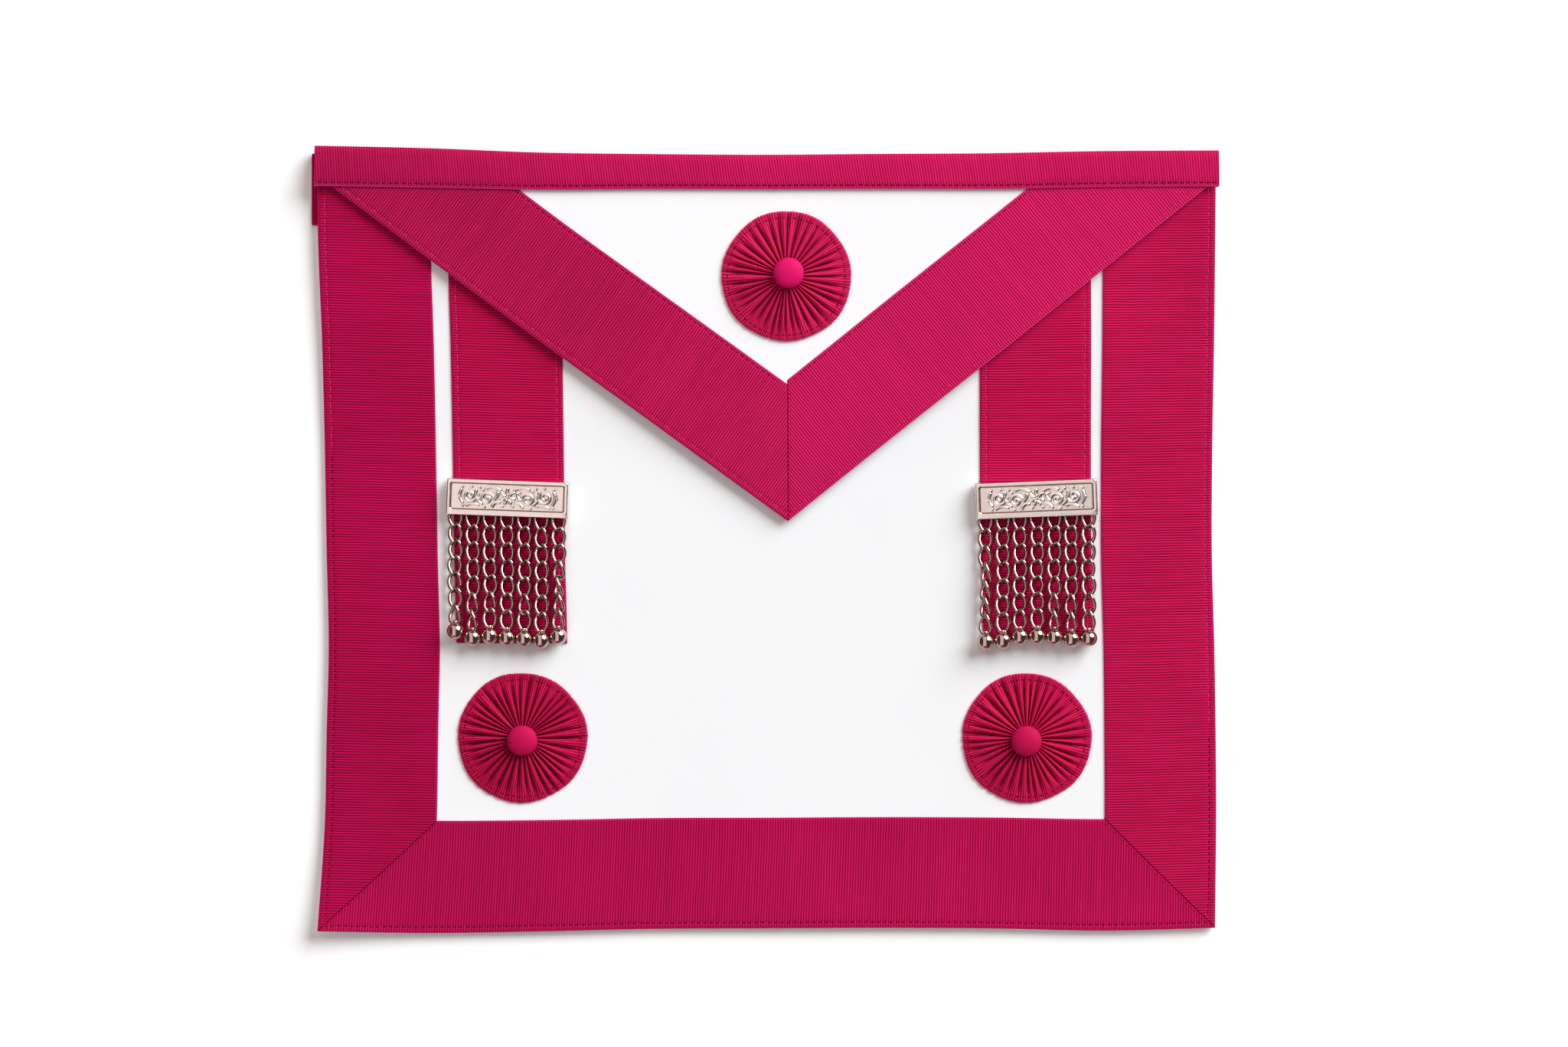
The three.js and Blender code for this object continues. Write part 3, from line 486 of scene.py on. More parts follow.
def belt_clasp():
    """Belt clasp: a flat plate with round corners and a rim, which falls to the table at its edge,
    pierced in look by a pressed slot. Height is a function of the distance to the outline."""
    low, high = cad("belt_clasp")
    half, middle = (high - low)[:2] / 2, (high + low)[:2] / 2
    x, y = np.meshgrid(np.linspace(-half[0], half[0], 80), np.linspace(-half[1], half[1], 44))
    inside = rounded_inside(x, y, half, 3)
    slot = rounded_inside(x - half[0] * 0.55, y, np.array([3, 7]), 2)
    height = 1 - 0.8 * (1 - smoothstep(0, 0.7, inside)) - 0.25 * smoothstep(1.8, 2.4, inside)
    height = height - 0.4 * smoothstep(-0.3, 0.3, slot)
    return layer((x + middle[0], y + middle[1]), low[2] + height, np.full(x.shape, low[2]))


def rounded_inside(x, y, half, radius):
    """Distance to a round-cornered rectangle's outline, positive inside it."""
    over_x, over_y = np.abs(x) - half[0] + radius, np.abs(y) - half[1] + radius
    outside = np.hypot(np.maximum(over_x, 0), np.maximum(over_y, 0))
    return radius - outside - np.minimum(np.maximum(over_x, over_y), 0)


# Rosettes and buttons

PLEATS = 38
PLEAT_COLUMNS = 14
RINGS = np.concatenate([np.linspace(0.12, 0.9, 40), [0.92, 0.94, 0.96, 0.975, 0.985, 0.993, 1]])


def rim_fall(share):
    """How much lower a rosette's ridges are near the rim, by share of the radius."""
    return 1.55 * smoothstep(0.6, 0.98, share)


def rosette_heights(share, phase, seed):
    """Upper side of a gathered ribbon, by share of the radius and by pleats counted round it: the
    folds' ridges fall from the button to the rim, and between them the cloth drops by the pleats'
    depth, times one minus a rounded saw of the turn. Each pleat has its own depth, its own slant and
    its own place where it flattens. Returns height and fold share."""
    rng = np.random.default_rng(seed)
    peak, depth = rng.uniform(0.3, 0.7, PLEATS), rng.uniform(0.7, 1.12, PLEATS)
    flatten = rng.uniform(0.85, 1.08, PLEATS)
    which = np.floor(phase).astype(int) % PLEATS
    turn = phase - np.floor(phase)
    saw = np.where(turn < peak[which], turn / peak[which], (1 - turn) / (1 - peak[which]))
    fold = np.sin(saw * np.pi / 2) ** 0.9
    near = (flatten + np.roll(flatten, 1))[which] / 2
    reach = 1 - smoothstep(near - 0.28, near + 0.03, share)
    amount = depth[which] * (0.25 + 2.1 * smoothstep(0.1, 0.3, share)) * (0.12 + 0.88 * reach)
    ridge = 3.6 - 0.7 * smoothstep(0.25, 0.7, share) - rim_fall(share)
    return np.maximum(ridge - amount * (1 - fold), 0.4), fold * reach + (1 - reach)


def rosette(x, y, level, slope, seed):
    """Rosette: rings of points round its middle. Each ring's turn is uneven from pleat to pleat and
    swirls a little, and the rim is scalloped by the folds."""
    rng = np.random.default_rng(seed + 100)
    widths = 1 + rng.uniform(-0.32, 0.32, PLEATS)
    bounds = np.concatenate([[0], np.cumsum(widths)]) / widths.sum() * 2 * np.pi
    swirl = rng.uniform(-0.05, 0.05, PLEATS + 1)
    swirl[-1] = swirl[0]
    columns, pleats, share = PLEATS * PLEAT_COLUMNS, np.arange(PLEATS + 1), RINGS[:, None]
    phase = np.arange(columns) / PLEAT_COLUMNS
    height, fold = rosette_heights(share, phase, seed)
    turn = np.interp(phase, pleats, bounds)
    angle = turn + np.interp(phase, pleats, swirl) * (1 - share)
    wobble = 0.007 * np.sin(3 * turn + seed) + 0.006 * np.sin(7 * turn) + rng.normal(0, 0.0022, columns)
    radius = ROSETTE_RADIUS * share * (0.985 + wobble * share - 0.02 * (1 - fold) * share**6)
    height = np.maximum(height - 0.45 * smoothstep(0.965, 1, share), 0.35)
    offset = np.stack([radius * np.cos(angle), radius * np.sin(angle)], -1)
    centre, lift = np.array(lay(x, y)), level + slope * offset[..., 1]
    upper, lower = (
        np.concatenate([offset + centre, (lift + rise)[..., None]], -1).reshape(-1, 3)
        for rise in (height, 0.04)
    )
    middle = [[*centre, level + height[0].mean() - 0.3], [*centre, level + 0.04]]
    points = np.concatenate([upper, lower, middle])
    under = len(upper)
    inner, outer = np.arange(columns), np.arange(columns) + under - columns
    inner_next, outer_next = np.roll(inner, -1), np.roll(outer, -1)
    face = quads(len(RINGS), columns, around=True)
    wall = np.stack([outer + under, outer_next + under, outer_next, outer], -1)
    cap = np.stack([inner_next, inner, np.full(columns, 2 * under)], -1)
    base = np.stack([inner + under, inner_next + under, np.full(columns, 2 * under + 1)], -1)
    shell = points, outward(points, [face, face[:, ::-1] + under, wall, cap, base])
    cloth = cloth_map(ROSETTE_RADIUS * (1 - share), phase * 2 * np.pi * ROSETTE_RADIUS / PLEATS)
    cloth = np.concatenate([cloth, [[ROSETTE_RADIUS, 0]] * 2])
    return shell, cloth, np.concatenate([fold.ravel(), fold.ravel(), [0, 0]])


def covered_button(node, beside):
    """Covered button: a low dome on a rounded edge, turned round its middle."""
    low, high = cad(node)
    profile = [(0, 0), (0.8, 0), (0.93, 0.08), (0.99, 0.22), (1, 0.34), (0.975, 0.48), (0.91, 0.62),
               (0.8, 0.75), (0.64, 0.86), (0.46, 0.935), (0.28, 0.98), (0.12, 0.997), (0, 1)]
    profile = [(radius * BUTTON_RADIUS, z * BUTTON_HEIGHT) for radius, z in profile]
    points, faces = turned(profile, 48)
    middle = (low + high) / 2
    return points + np.array([middle[0] + beside, middle[1], low[2]]), faces


# Plates and chains

PLATE_FLOOR, PLATE_TOP = 3.5, 4.5
SCROLL_RADIUS = 2.9
# The ornament's right half in millimetres from the plate's middle: a stem's start, end, bulge and
# width, and a berry's place
STEMS = [
    ((3.2, 3.4), (9.6, 3.9), 0.9, 0.5),
    ((11.6, -3.0), (14.2, 2.9), -1.1, 0.5),
    ((20.3, -2.6), (20.9, 2.9), -0.9, 0.5),
    ((3.6, -2.2), (6.8, -4.3), 0.7, 0.5),
    ((13.2, -3.6), (18.6, -4.1), 0.7, 0.45),
    ((4.4, 1.9), (6.0, -0.9), -0.5, 0.45),
]
BERRIES = [(0, 0), (5.3, 2.3), (11.2, 2.9), (12.6, 4.2), (12.9, -1.1), (13.1, 1.0), (10.4, -4.6),
           (20.6, 4.2), (22.0, 0.1), (16.4, 4.5), (2.3, -4.0), (20.4, -4.2)]


def scroll_line(x, y, turn, start):
    """Points of a spiral that winds in evenly, in 1.3 turns, to a fifth of its radius."""
    t = np.linspace(0, 1, 70)
    angle = start + turn * t * 1.3 * 2 * np.pi
    reach = SCROLL_RADIUS * (1 - 0.8 * t)
    return np.stack([x + reach * np.cos(angle), y + reach * np.sin(angle)], -1)


def arc_line(start, end, bulge):
    """Points from start to end on a bow that stands out by bulge at its middle."""
    start, end = np.array(start, float), np.array(end, float)
    t = np.linspace(0, 1, 26)[:, None]
    side = np.array([start[1] - end[1], end[0] - start[0]]) / np.linalg.norm(end - start)
    return start + (end - start) * t + side * bulge * 4 * t * (1 - t)


def ornament(x, y):
    """Raised scrollwork of no particular design: a flower in the middle, and two scrolls each side
    that grow from it on bowed stems with small leaves and berries. Height is the highest of many
    round ridges, each falling off with the square of the distance to its line."""
    half = [(scroll_line(9.2, -0.7, -1, 0.9 * math.pi), 0.55, 0.3)]
    half.append((scroll_line(16.9, 0.5, 1, 1.15 * math.pi), 0.55, 0.3))
    half += [(arc_line(start, end, bulge), width, 0.3) for start, end, bulge, width in STEMS]
    half += [(np.array([berry]), 0.55, 0.25) for berry in BERRIES]
    ridges = [(line * [side, 1], width, top) for line, width, top in half for side in (-1, 1)]
    for angle in np.linspace(0, 2 * np.pi, 7, endpoint=False) + math.pi / 2:
        ray = np.array([math.cos(angle), math.sin(angle)])
        ridges.append((arc_line(1.3 * ray, (3.0 + 0.9 * max(0, ray[1])) * ray, 0.3), 0.5, 0.3))
    height = np.zeros(x.shape)
    for line, width, top in ridges:
        apart = np.min((x[..., None] - line[:, 0]) ** 2 + (y[..., None] - line[:, 1]) ** 2, axis=-1)
        height = np.maximum(height, top * np.exp(-apart / width**2))
    return height


def tassel_plate(side):
    """Cast plate: height over its back is a flat frame with rounded edges, wider below, round a lower
    floor with scrollwork. Its back has a hollow along the lower edge, with a peg for each chain. Also
    returns how deep each point lies under the mean of its surroundings, which is where tarnish sits."""
    low, high = cad(f"tassel_plate_{side}")
    middle, turn = (low + high)[:2] / 2, TASSELS[side]["turn"]
    width, depth = PLATE_HALF
    x, y = np.meshgrid(np.linspace(-width, width, 330), np.linspace(-depth, depth, 102))
    inside = rounded_inside(x, y, PLATE_HALF, 1.2)
    within = rounded_inside(x, y - 0.4, PLATE_HALF - np.array([1.9, 2.3]), 0.9)
    rail = 1 - smoothstep(-0.22, 0.12, within)
    crown = 0.1 * (1 - np.clip((within + 0.95) / 0.95, -1, 1) ** 2)
    stipple = np.random.default_rng(5).normal(0, 0.008, x.shape)
    relief = (ornament(x, y - 0.3) + stipple) * smoothstep(0.3, 0.8, within)
    height = PLATE_FLOOR + (PLATE_TOP - PLATE_FLOOR + crown) * rail + relief
    height = height - 0.9 * (1 - np.sqrt(1 - (1 - np.clip(inside / 0.7, 0, 1)) ** 2))
    height = np.where(inside < 0, 0.6, height)
    around = height
    for axis in (0, 1):
        around = sum(np.roll(around, shift, axis) for shift in range(-3, 4)) / 7
    recess = np.clip((around - height - 0.01) / 0.09, 0, 1) * smoothstep(-0.1, 0.05, within)
    back = np.where((y < HOLLOW_TOP) & (np.abs(x) < HOLLOW_HALF), HOLLOW_DEPTH, 0.0)
    places = (np.arange(CHAINS) - 3) * CHAIN_PITCH
    peg = (np.abs(x[..., None] - places).min(-1) < PEG_HALF) & (np.abs(y - PEG_Y) < PEG_HALF)
    back = np.where(peg, 0.4, back)
    height = np.maximum(height, back + 0.5)
    px = middle[0] + TASSELS[side]["beside"] + x * math.cos(turn) - y * math.sin(turn)
    py = middle[1] + x * math.sin(turn) + y * math.cos(turn)
    recess = np.concatenate([recess.ravel(), np.zeros(x.size)])
    return layer((px, py), low[2] + height, low[2] + back), recess


WIRE_SIDES = 10
LINK_STEPS = 36


def unit(vectors):
    """Vectors of length one."""
    return vectors / np.linalg.norm(vectors, axis=-1, keepdims=True)


def chain(side, number):
    """Curb chain with a ball. A link's middle line is an oval, its ends twisted opposite ways, and its
    wire is a ring of points round that line, between the direction away from the link's middle and the
    one across both. The links climb to the ball's height and wander a little sideways. Also returns 1
    for each point of the ball and 0 for the others, because the ball is polished."""
    place = TASSELS[side]
    plate_low, plate_high = cad(f"tassel_plate_{side}")
    chain_low, chain_high = cad(f"chain_{side}_{number + 1}")
    turn, level = place["turn"], plate_low[2]
    peg_y = (number - 3) * CHAIN_PITCH * math.sin(turn) + PEG_Y * math.cos(turn)
    first = (plate_low[1] + plate_high[1]) / 2 + peg_y - FIRST_LINK
    middle_x = (chain_low[0] + chain_high[0]) / 2 + place["beside"]
    ball_y, ball_z = chain_low[1] + BALL_RADIUS, level + BALL_RADIUS
    length = first - ball_y
    stretch = length / CHAIN_LENGTH
    rng = np.random.default_rng(40 + number + (10 if side == "right" else 0))
    run = np.arange(LINKS) * LINK_PITCH * stretch
    rolls = np.array([LINK_ROLLS[side].get((number + 1, link + 1), 0) for link in range(LINKS)], float)
    rolls = np.radians(rolls + rng.uniform(-6, 6, LINKS) * (np.arange(LINKS) > 0))
    t = np.linspace(0, 2 * np.pi, LINK_STEPS, endpoint=False)
    along = np.sin(t)[None, :]
    twist = LINK_TWIST * np.where((np.arange(LINKS)[:, None] == 0) & (along > 0), 0, along) + rolls[:, None]
    across = LINK_SIDE * (np.sign(np.cos(t)) * np.abs(np.cos(t)) ** 0.8)[None, :]
    line = [across * np.cos(twist), LINK_END * stretch * along, across * np.sin(twist)]
    line = np.stack(np.broadcast_arrays(*line), -1)
    tangent = unit(np.roll(line, -1, 1) - np.roll(line, 1, 1))
    away = unit(line - tangent * (line * tangent).sum(-1, keepdims=True))[:, :, None]
    ring = np.linspace(0, 2 * np.pi, WIRE_SIDES, endpoint=False)[:, None]
    wire = WIRE_RADIUS * (np.cos(ring) * away + np.sin(ring) * np.cross(tangent[:, :, None], away))
    climb = smoothstep(0.45, 1, run / length)
    spread = LINK_SIDE * np.sin(np.abs(rolls))
    flat = level + LINK_LEVEL
    height = np.maximum(flat + (ball_z - flat) * climb, level + 0.85 + spread * 0.9)
    sway = rng.uniform(-0.35, 0.35, LINKS) * np.sin(np.pi * np.clip(run / length * 1.05, 0, 1))
    centre = np.stack([middle_x + sway, first - run, height], -1)
    points = centre[:, None, None] + line[:, :, None] + wire
    faces = quads(LINK_STEPS, WIRE_SIDES, around=True, over=True)
    faces = outward(points[1].reshape(-1, 3), [faces])
    links = points.reshape(-1, 3), repeated(faces, LINKS, LINK_STEPS * WIRE_SIDES)
    angles = np.linspace(-np.pi / 2, np.pi / 2, 23)
    ball = turned([(BALL_RADIUS * math.cos(a), BALL_RADIUS * math.sin(a)) for a in angles], 32)
    ball = ball[0] + np.array([middle_x, ball_y, ball_z]), ball[1]
    neck = turned([(0, -0.6), (0.95, -0.5), (1.25, 0), (1.15, 0.5), (0.7, 0.95), (0, 1.15)], 12)
    upright = neck[0][:, [0, 2, 1]] * [1, 1, -1] + [middle_x, ball_y + BALL_RADIUS, ball_z]
    polished = np.repeat([0.0, 1.0], [len(links[0]), len(ball[0]) + len(upright)])
    return gather([links, ball, (upright, neck[1])]), polished


# Stitches

STITCH = turned([(0, -1), (0.75, -0.85), (1, -0.35), (1, 0.35), (0.75, 0.85), (0, 1)], 6)


def stitches(middles, directions, length, thickness):
    """Stitches: short rods along their directions. A rod's height falls with the square of the way to
    its ends, which go into the cloth."""
    shape = STITCH[0][None]
    side = unit(np.cross(directions, [0, 0, 1.0]))
    points = middles[:, None] + shape[..., 2:] * directions[:, None] * length / 2
    points = points + shape[..., :1] * side[:, None] * thickness / 2
    points[..., 2] += shape[..., 1] * thickness * 0.4 + 0.1 - 0.25 * shape[..., 2] ** 2
    return points.reshape(-1, 3), repeated(STITCH[1], len(middles), len(STITCH[0]))


def seam(path, surface, spacing, length, thickness=0.45, seed=0):
    """Stitches along a path of pattern points at even distances, each between two points that lie on
    the surface, with a little wander to the side."""
    path = np.array(path, float)
    run = lengths(path)
    rng = np.random.default_rng(seed)
    places = np.arange(spacing * 0.6, run[-1] - spacing * 0.4, spacing)
    places = places + rng.uniform(-0.08, 0.08, len(places)) * spacing
    stray = rng.normal(0, 0.07, len(places))
    ends = []
    for shift in (-0.3, 0.3):
        x, y = (np.interp(places + shift * spacing, run, path[:, k]) + stray for k in (0, 1))
        ends.append(np.stack([*lay(x, y), surface(x, y)], -1))
    return stitches((ends[0] + ends[1]) / 2, unit(ends[1] - ends[0]), length, thickness)


def rosette_ring(x, y, level, slope):
    """Stitches in a ring near a rosette's rim."""
    share, turn = 0.905, np.linspace(0, 2 * np.pi, 62, endpoint=False)
    round_it = np.stack([np.cos(turn), np.sin(turn)], -1)
    offset = ROSETTE_RADIUS * share * 0.985 * round_it
    height = level + slope * offset[:, 1] + 2.8 - rim_fall(share)
    middles = np.concatenate([offset + lay(x, y), height[:, None]], -1)
    directions = np.stack([-round_it[:, 1], round_it[:, 0], np.zeros(len(turn))], -1)
    return stitches(middles, directions, 2.1, 0.4)


# Materials


def linear(code):
    """A colour written as sRGB hex, as the linear values that a shader takes."""
    share = np.array([int(code[k : k + 2], 16) for k in (1, 3, 5)]) / 255
    value = np.where(share <= 0.04045, share / 12.92, ((share + 0.055) / 1.055) ** 2.4)
    return (*value.tolist(), 1.0)


def feed(tree, node, inputs):
    """Gives a node's sockets values, other sockets, or other nodes, whose first output is taken."""
    for socket, value in inputs.items():
        if isinstance(value, bpy.types.Node):
            value = value.outputs[0]
        if isinstance(value, bpy.types.NodeSocket):
            tree.links.new(value, node.inputs[socket])
        else:
            node.inputs[socket].default_value = value


def add(tree, kind, inputs=(), **settings):
    """Adds a shader node with its settings and feeds it."""
    node = tree.nodes.new("ShaderNode" + kind)
    for key, value in settings.items():
        setattr(node, key, value)
    feed(tree, node, dict(inputs))
    return node


def finish_of(name, **surface):
    """A material with a Principled shader, its tree and that shader."""
    material = bpy.data.materials.new(name)
    material.use_nodes = True
    tree = material.node_tree
    tree.nodes.clear()
    shader = add(tree, "BsdfPrincipled", {key.replace("_", " "): value for key, value in surface.items()})
    add(tree, "OutputMaterial", {"Surface": shader})
    return material, tree, shader


# The real ribbon has 52 ribs across its own width, 0.97 mm each. They are drawn 1.2 mm apart, so that
# they still show in a picture of the whole apron.
RIB_PITCH = 1.2


def grosgrain(name, crest, groove, edge, painted_falloff=None, fold_shade=None):
    """Woven rayon grosgrain: thick weft cords under a fine warp give ribs straight across the ribbon,
    each a little brighter or darker than the next, with a smooth paler selvedge and a dull silk shine
    on the crests, partly real and partly a painted highlight in the crest tone; the groove tone is
    painted shade between the ribs. painted_falloff is two places along the ribbon and how bright the
    painted light falling off along it is at each, and fold_shade is how bright the painted shade at
    the bottom of a pleat is."""
    material, tree, shader = finish_of(name, Roughness=0.8, Specular_IOR_Level=0.03)
    axes = add(tree, "SeparateXYZ", {0: add(tree, "UVMap", uv_map="cloth")})
    edge_distance, along = axes.outputs[0], axes.outputs[1]
    place = add(tree, "TexCoord").outputs["Object"]
    drift = add(tree, "TexNoise", {"Vector": place, "Scale": 90.0, "Detail": 2.0})
    wander = add(tree, "Math", {0: drift, 1: 0.5, 2: -0.25}, operation="MULTIPLY_ADD")
    moved = add(tree, "Math", {0: along, 1: wander}, operation="ADD")
    phase = add(tree, "Math", {0: moved, 1: 2 * math.pi / RIB_PITCH}, operation="MULTIPLY")
    wave = add(tree, "Math", {0: phase}, operation="SINE")
    ribs = {0: wave, 1: -0.9, 2: 0.7, 3: 0.12, 4: 0.88}
    rib = add(tree, "MapRange", ribs, interpolation_type="SMOOTHSTEP")
    # The streak is one value per rib or so, drawn out across the ribbon, and the speck stands for warp
    # threads 0.3 mm apart.
    noises = []
    for narrow, settings in (
        (0.06, {"Scale": 0.55, "Detail": 3.0, "Roughness": 0.7}),
        (3.0, {"Scale": 0.9, "Detail": 1.0}),
    ):
        across = add(tree, "Math", {0: edge_distance, 1: narrow}, operation="MULTIPLY")
        grid = add(tree, "CombineXYZ", {0: across, 1: moved})
        noises.append(add(tree, "TexNoise", {"Vector": grid, **settings}))
    streak, speck = noises
    cloud = add(tree, "TexNoise", {"Vector": place, "Scale": 14.0, "Detail": 3.0})
    shades = [
        add(tree, "MapRange", {0: streak, 1: 0.3, 2: 0.7, 3: 0.88, 4: 1.1}),
        add(tree, "MapRange", {0: speck, 1: 0.25, 2: 0.75, 3: 0.9, 4: 1.1}),
        add(tree, "MapRange", {0: cloud, 1: 0.3, 2: 0.7, 3: 0.94, 4: 1.06}),
    ]
    # Painted light: the ribbon's tone falls off along its length as the light does.
    if painted_falloff:
        shades.append(add(tree, "MapRange", {0: along, **dict(enumerate(painted_falloff, 1))}))
    if fold_shade:
        fold = add(tree, "Attribute", attribute_name="fold").outputs["Fac"]
        fine = add(tree, "MapRange", {0: edge_distance, 1: 21.0, 2: 7.0, 3: 0.1, 4: 0.85})
        rib = add(tree, "Mix", {0: fine, 2: 0.62, 3: rib}, data_type="FLOAT")
        shades.append(add(tree, "MapRange", {0: fold, 1: 0.0, 2: 0.8, 3: fold_shade, 4: 1.1}))
        shades.append(add(tree, "MapRange", {0: edge_distance, 1: 0.0, 2: 9.0, 3: 0.86, 4: 1.0}))
    shade = shades[0]
    for other in shades[1:]:
        shade = add(tree, "Math", {0: shade, 1: other}, operation="MULTIPLY")
    # The groove tone is painted shade and the crest tone holds a painted highlight.
    tone = add(tree, "Mix", {0: rib, 6: linear(groove), 7: linear(crest)}, data_type="RGBA")
    shaded = add(tree, "VectorMath", {0: tone.outputs[2], 3: shade}, operation="SCALE")
    at_edge = add(tree, "MapRange", {0: edge_distance, 1: 0.75, 2: 0.2, 3: 0.0, 4: 0.6})
    colour = add(tree, "Mix", {0: at_edge, 6: shaded, 7: linear(edge)}, data_type="RGBA")
    relief = add(tree, "Math", {0: speck, 1: 0.25, 2: rib}, operation="MULTIPLY_ADD")
    bump = add(tree, "Bump", {"Strength": 0.6, "Distance": 0.00022, "Height": relief})
    feed(tree, shader, {"Base Color": colour.outputs[2], "Normal": bump})
    return material


BUTTON_THREAD = 0.0005


def button_cloth(name, pale, deep):
    """Plain-weave rayon stretched over a button: smoother and brighter than the ribbon, with threads
    about 0.25 mm apart that are drawn 0.5 mm apart."""
    material, tree, shader = finish_of(name, Roughness=0.6, Specular_IOR_Level=0.08)
    axes = add(tree, "SeparateXYZ", {0: add(tree, "TexCoord").outputs["Object"]})
    threads = []
    for axis in axes.outputs[:2]:
        phase = add(tree, "Math", {0: axis, 1: 2 * math.pi / BUTTON_THREAD}, operation="MULTIPLY")
        threads.append(add(tree, "Math", {0: phase}, operation="SINE"))
    weave = add(tree, "Math", {0: threads[0], 1: threads[1]}, operation="MULTIPLY")
    tone = add(tree, "MapRange", {0: weave, 1: -1.0, 2: 1.0})
    colour = add(tree, "Mix", {0: tone, 6: linear(deep), 7: linear(pale)}, data_type="RGBA")
    bump = add(tree, "Bump", {"Strength": 0.35, "Distance": 0.00006, "Height": weave})
    feed(tree, shader, {"Base Color": colour.outputs[2], "Normal": bump})
    return material


def white_leather(name, pale, paler):
    """Bleached lambskin, finished smooth: almost even white, with a faint cloudiness and pores. They
    are under 0.2 mm across and are drawn 0.7 mm apart, very shallow."""
    material, tree, shader = finish_of(name, Roughness=0.5, Specular_IOR_Level=0.35)
    place = add(tree, "TexCoord").outputs["Object"]
    cloud = add(tree, "TexNoise", {"Vector": place, "Scale": 11.0, "Detail": 4.0, "Roughness": 0.6})
    colour = add(tree, "Mix", {0: cloud, 6: linear(pale), 7: linear(paler)}, data_type="RGBA")
    pores = add(tree, "TexVoronoi", {"Vector": place, "Scale": 1400.0})
    grain = add(tree, "TexNoise", {"Vector": place, "Scale": 420.0, "Detail": 4.0})
    height = add(tree, "Math", {0: pores, 1: 0.35, 2: grain}, operation="MULTIPLY_ADD")
    bump = add(tree, "Bump", {"Strength": 0.12, "Distance": 0.0001, "Height": height})
    feed(tree, shader, {"Base Color": colour.outputs[2], "Normal": bump})
    return material


def nickel(name, tone, roughness, rough_spread, grain, marked, marked_tone):
    """Nickel-plated zinc, cast or formed from wire and barrel-plated: a warm pale metal that mirrors
    its surroundings, clouded by handling and by the skin of the casting under the plating. Points that
    an attribute marks have their own tone: tarnish is left in a casting's recesses, where no cloth
    reaches, and a chain's ball is polished brighter than its wire."""
    material, tree, shader = finish_of(name, Metallic=1.0)
    place = add(tree, "TexCoord").outputs["Object"]
    smear = add(tree, "TexNoise", {"Vector": place, "Scale": 260.0, "Detail": 4.0})
    rough = add(tree, "MapRange", {0: smear, 1: 0.3, 2: 0.7, 3: roughness, 4: roughness + rough_spread})
    worn = add(tree, "TexNoise", {"Vector": place, "Scale": 500.0, "Detail": 3.0})
    colour = add(tree, "Mix", {0: worn, 6: linear(tone[0]), 7: linear(tone[1])}, data_type="RGBA")
    share = add(tree, "Attribute", attribute_name=marked).outputs["Fac"]
    colour = add(tree, "Mix", {0: share, 6: colour.outputs[2], 7: linear(marked_tone)}, data_type="RGBA")
    skin = add(tree, "TexNoise", {"Vector": place, "Scale": 2200.0, "Detail": 2.0})
    bump = add(tree, "Bump", {"Strength": grain, "Distance": 0.00005, "Height": skin})
    feed(tree, shader, {"Base Color": colour.outputs[2], "Roughness": rough, "Normal": bump})
    return material


def thread(name, pale, dark):
    """Spun polyester sewing thread, two plies twisted: light and dark slant across it every 0.4 mm."""
    material, tree, shader = finish_of(name, Roughness=0.6, Specular_IOR_Level=0.1)
    plies = {"Vector": add(tree, "TexCoord").outputs["Object"], "Scale": 400.0, "Distortion": 1.0}
    twist = add(tree, "TexWave", plies, bands_direction="DIAGONAL")
    colour = add(tree, "Mix", {0: twist.outputs[1], 6: linear(dark), 7: linear(pale)}, data_type="RGBA")
    feed(tree, shader, {"Base Color": colour.outputs[2]})
    return material


# The apron


def place_piece(made, slot, *nodes):
    """Rides a piece on the apron and lets it stand for its CAD nodes, which it hides. slot is not used."""
    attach(made, "root")
    if nodes:
        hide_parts(*nodes)
    return made


# Tones of each ribbon's ribs, grooves and selvedge, and its painted light falling off along its
# length or its folds' painted shade. All ribbons and rosettes are one cloth: their tones differ from
# one to the next as painted light and shade, by how the light falls on each.
EDGE_TINT = "#C2286E"
DYES_AND_PAINTED_LIGHT = {
    "left_border": ("#BE1255", "#7B0020", EDGE_TINT, (0.0, 300.0, 0.87, 1.03)),
    "right_border": ("#D41E5E", "#880028", EDGE_TINT, (0.0, 300.0, 0.87, 1.01)),
    "hem": ("#CA195D", "#820026", EDGE_TINT, (-170.0, 0.0, 0.86, 0.97)),
    "waist_band": ("#CF1E61", "#90042F", "#C43C88", (-190.0, 10.0, 0.75, 1.01)),
    "flap_left": ("#CC2260", "#840028", EDGE_TINT, (0.0, 260.0, 1.12, 0.84)),
    "flap_right": ("#E5286F", "#950031", "#D83C80", (40.0, 250.0, 0.89, 1.05)),
    "tassel_left": ("#C81656", "#7F0022", EDGE_TINT),
    "tassel_right": ("#D41B5C", "#860024", EDGE_TINT),
    "rosette_flap": ("#DE2560", "#7C001F", "#D8407C", None, 0.36),
    "rosette_left": ("#CA1A50", "#6C0018", "#C8386E", None, 0.24),
    "rosette_right": ("#D41E56", "#74001B", "#D8407C", None, 0.3),
}
RIBBONS = {name: grosgrain(f"grosgrain_{name}", *dye_and_light) for name, dye_and_light in DYES_AND_PAINTED_LIGHT.items()}
BODY_SKIN = white_leather("white_lambskin_body", "#E8E7E9", "#ECECED")
# The flap's lambskin is a lighter copy of the body's, the same leather: painted light.
FLAP_SKIN_PAINTED_LIGHTER = white_leather("white_lambskin_flap", "#EEEDEF", "#F2F2F3")
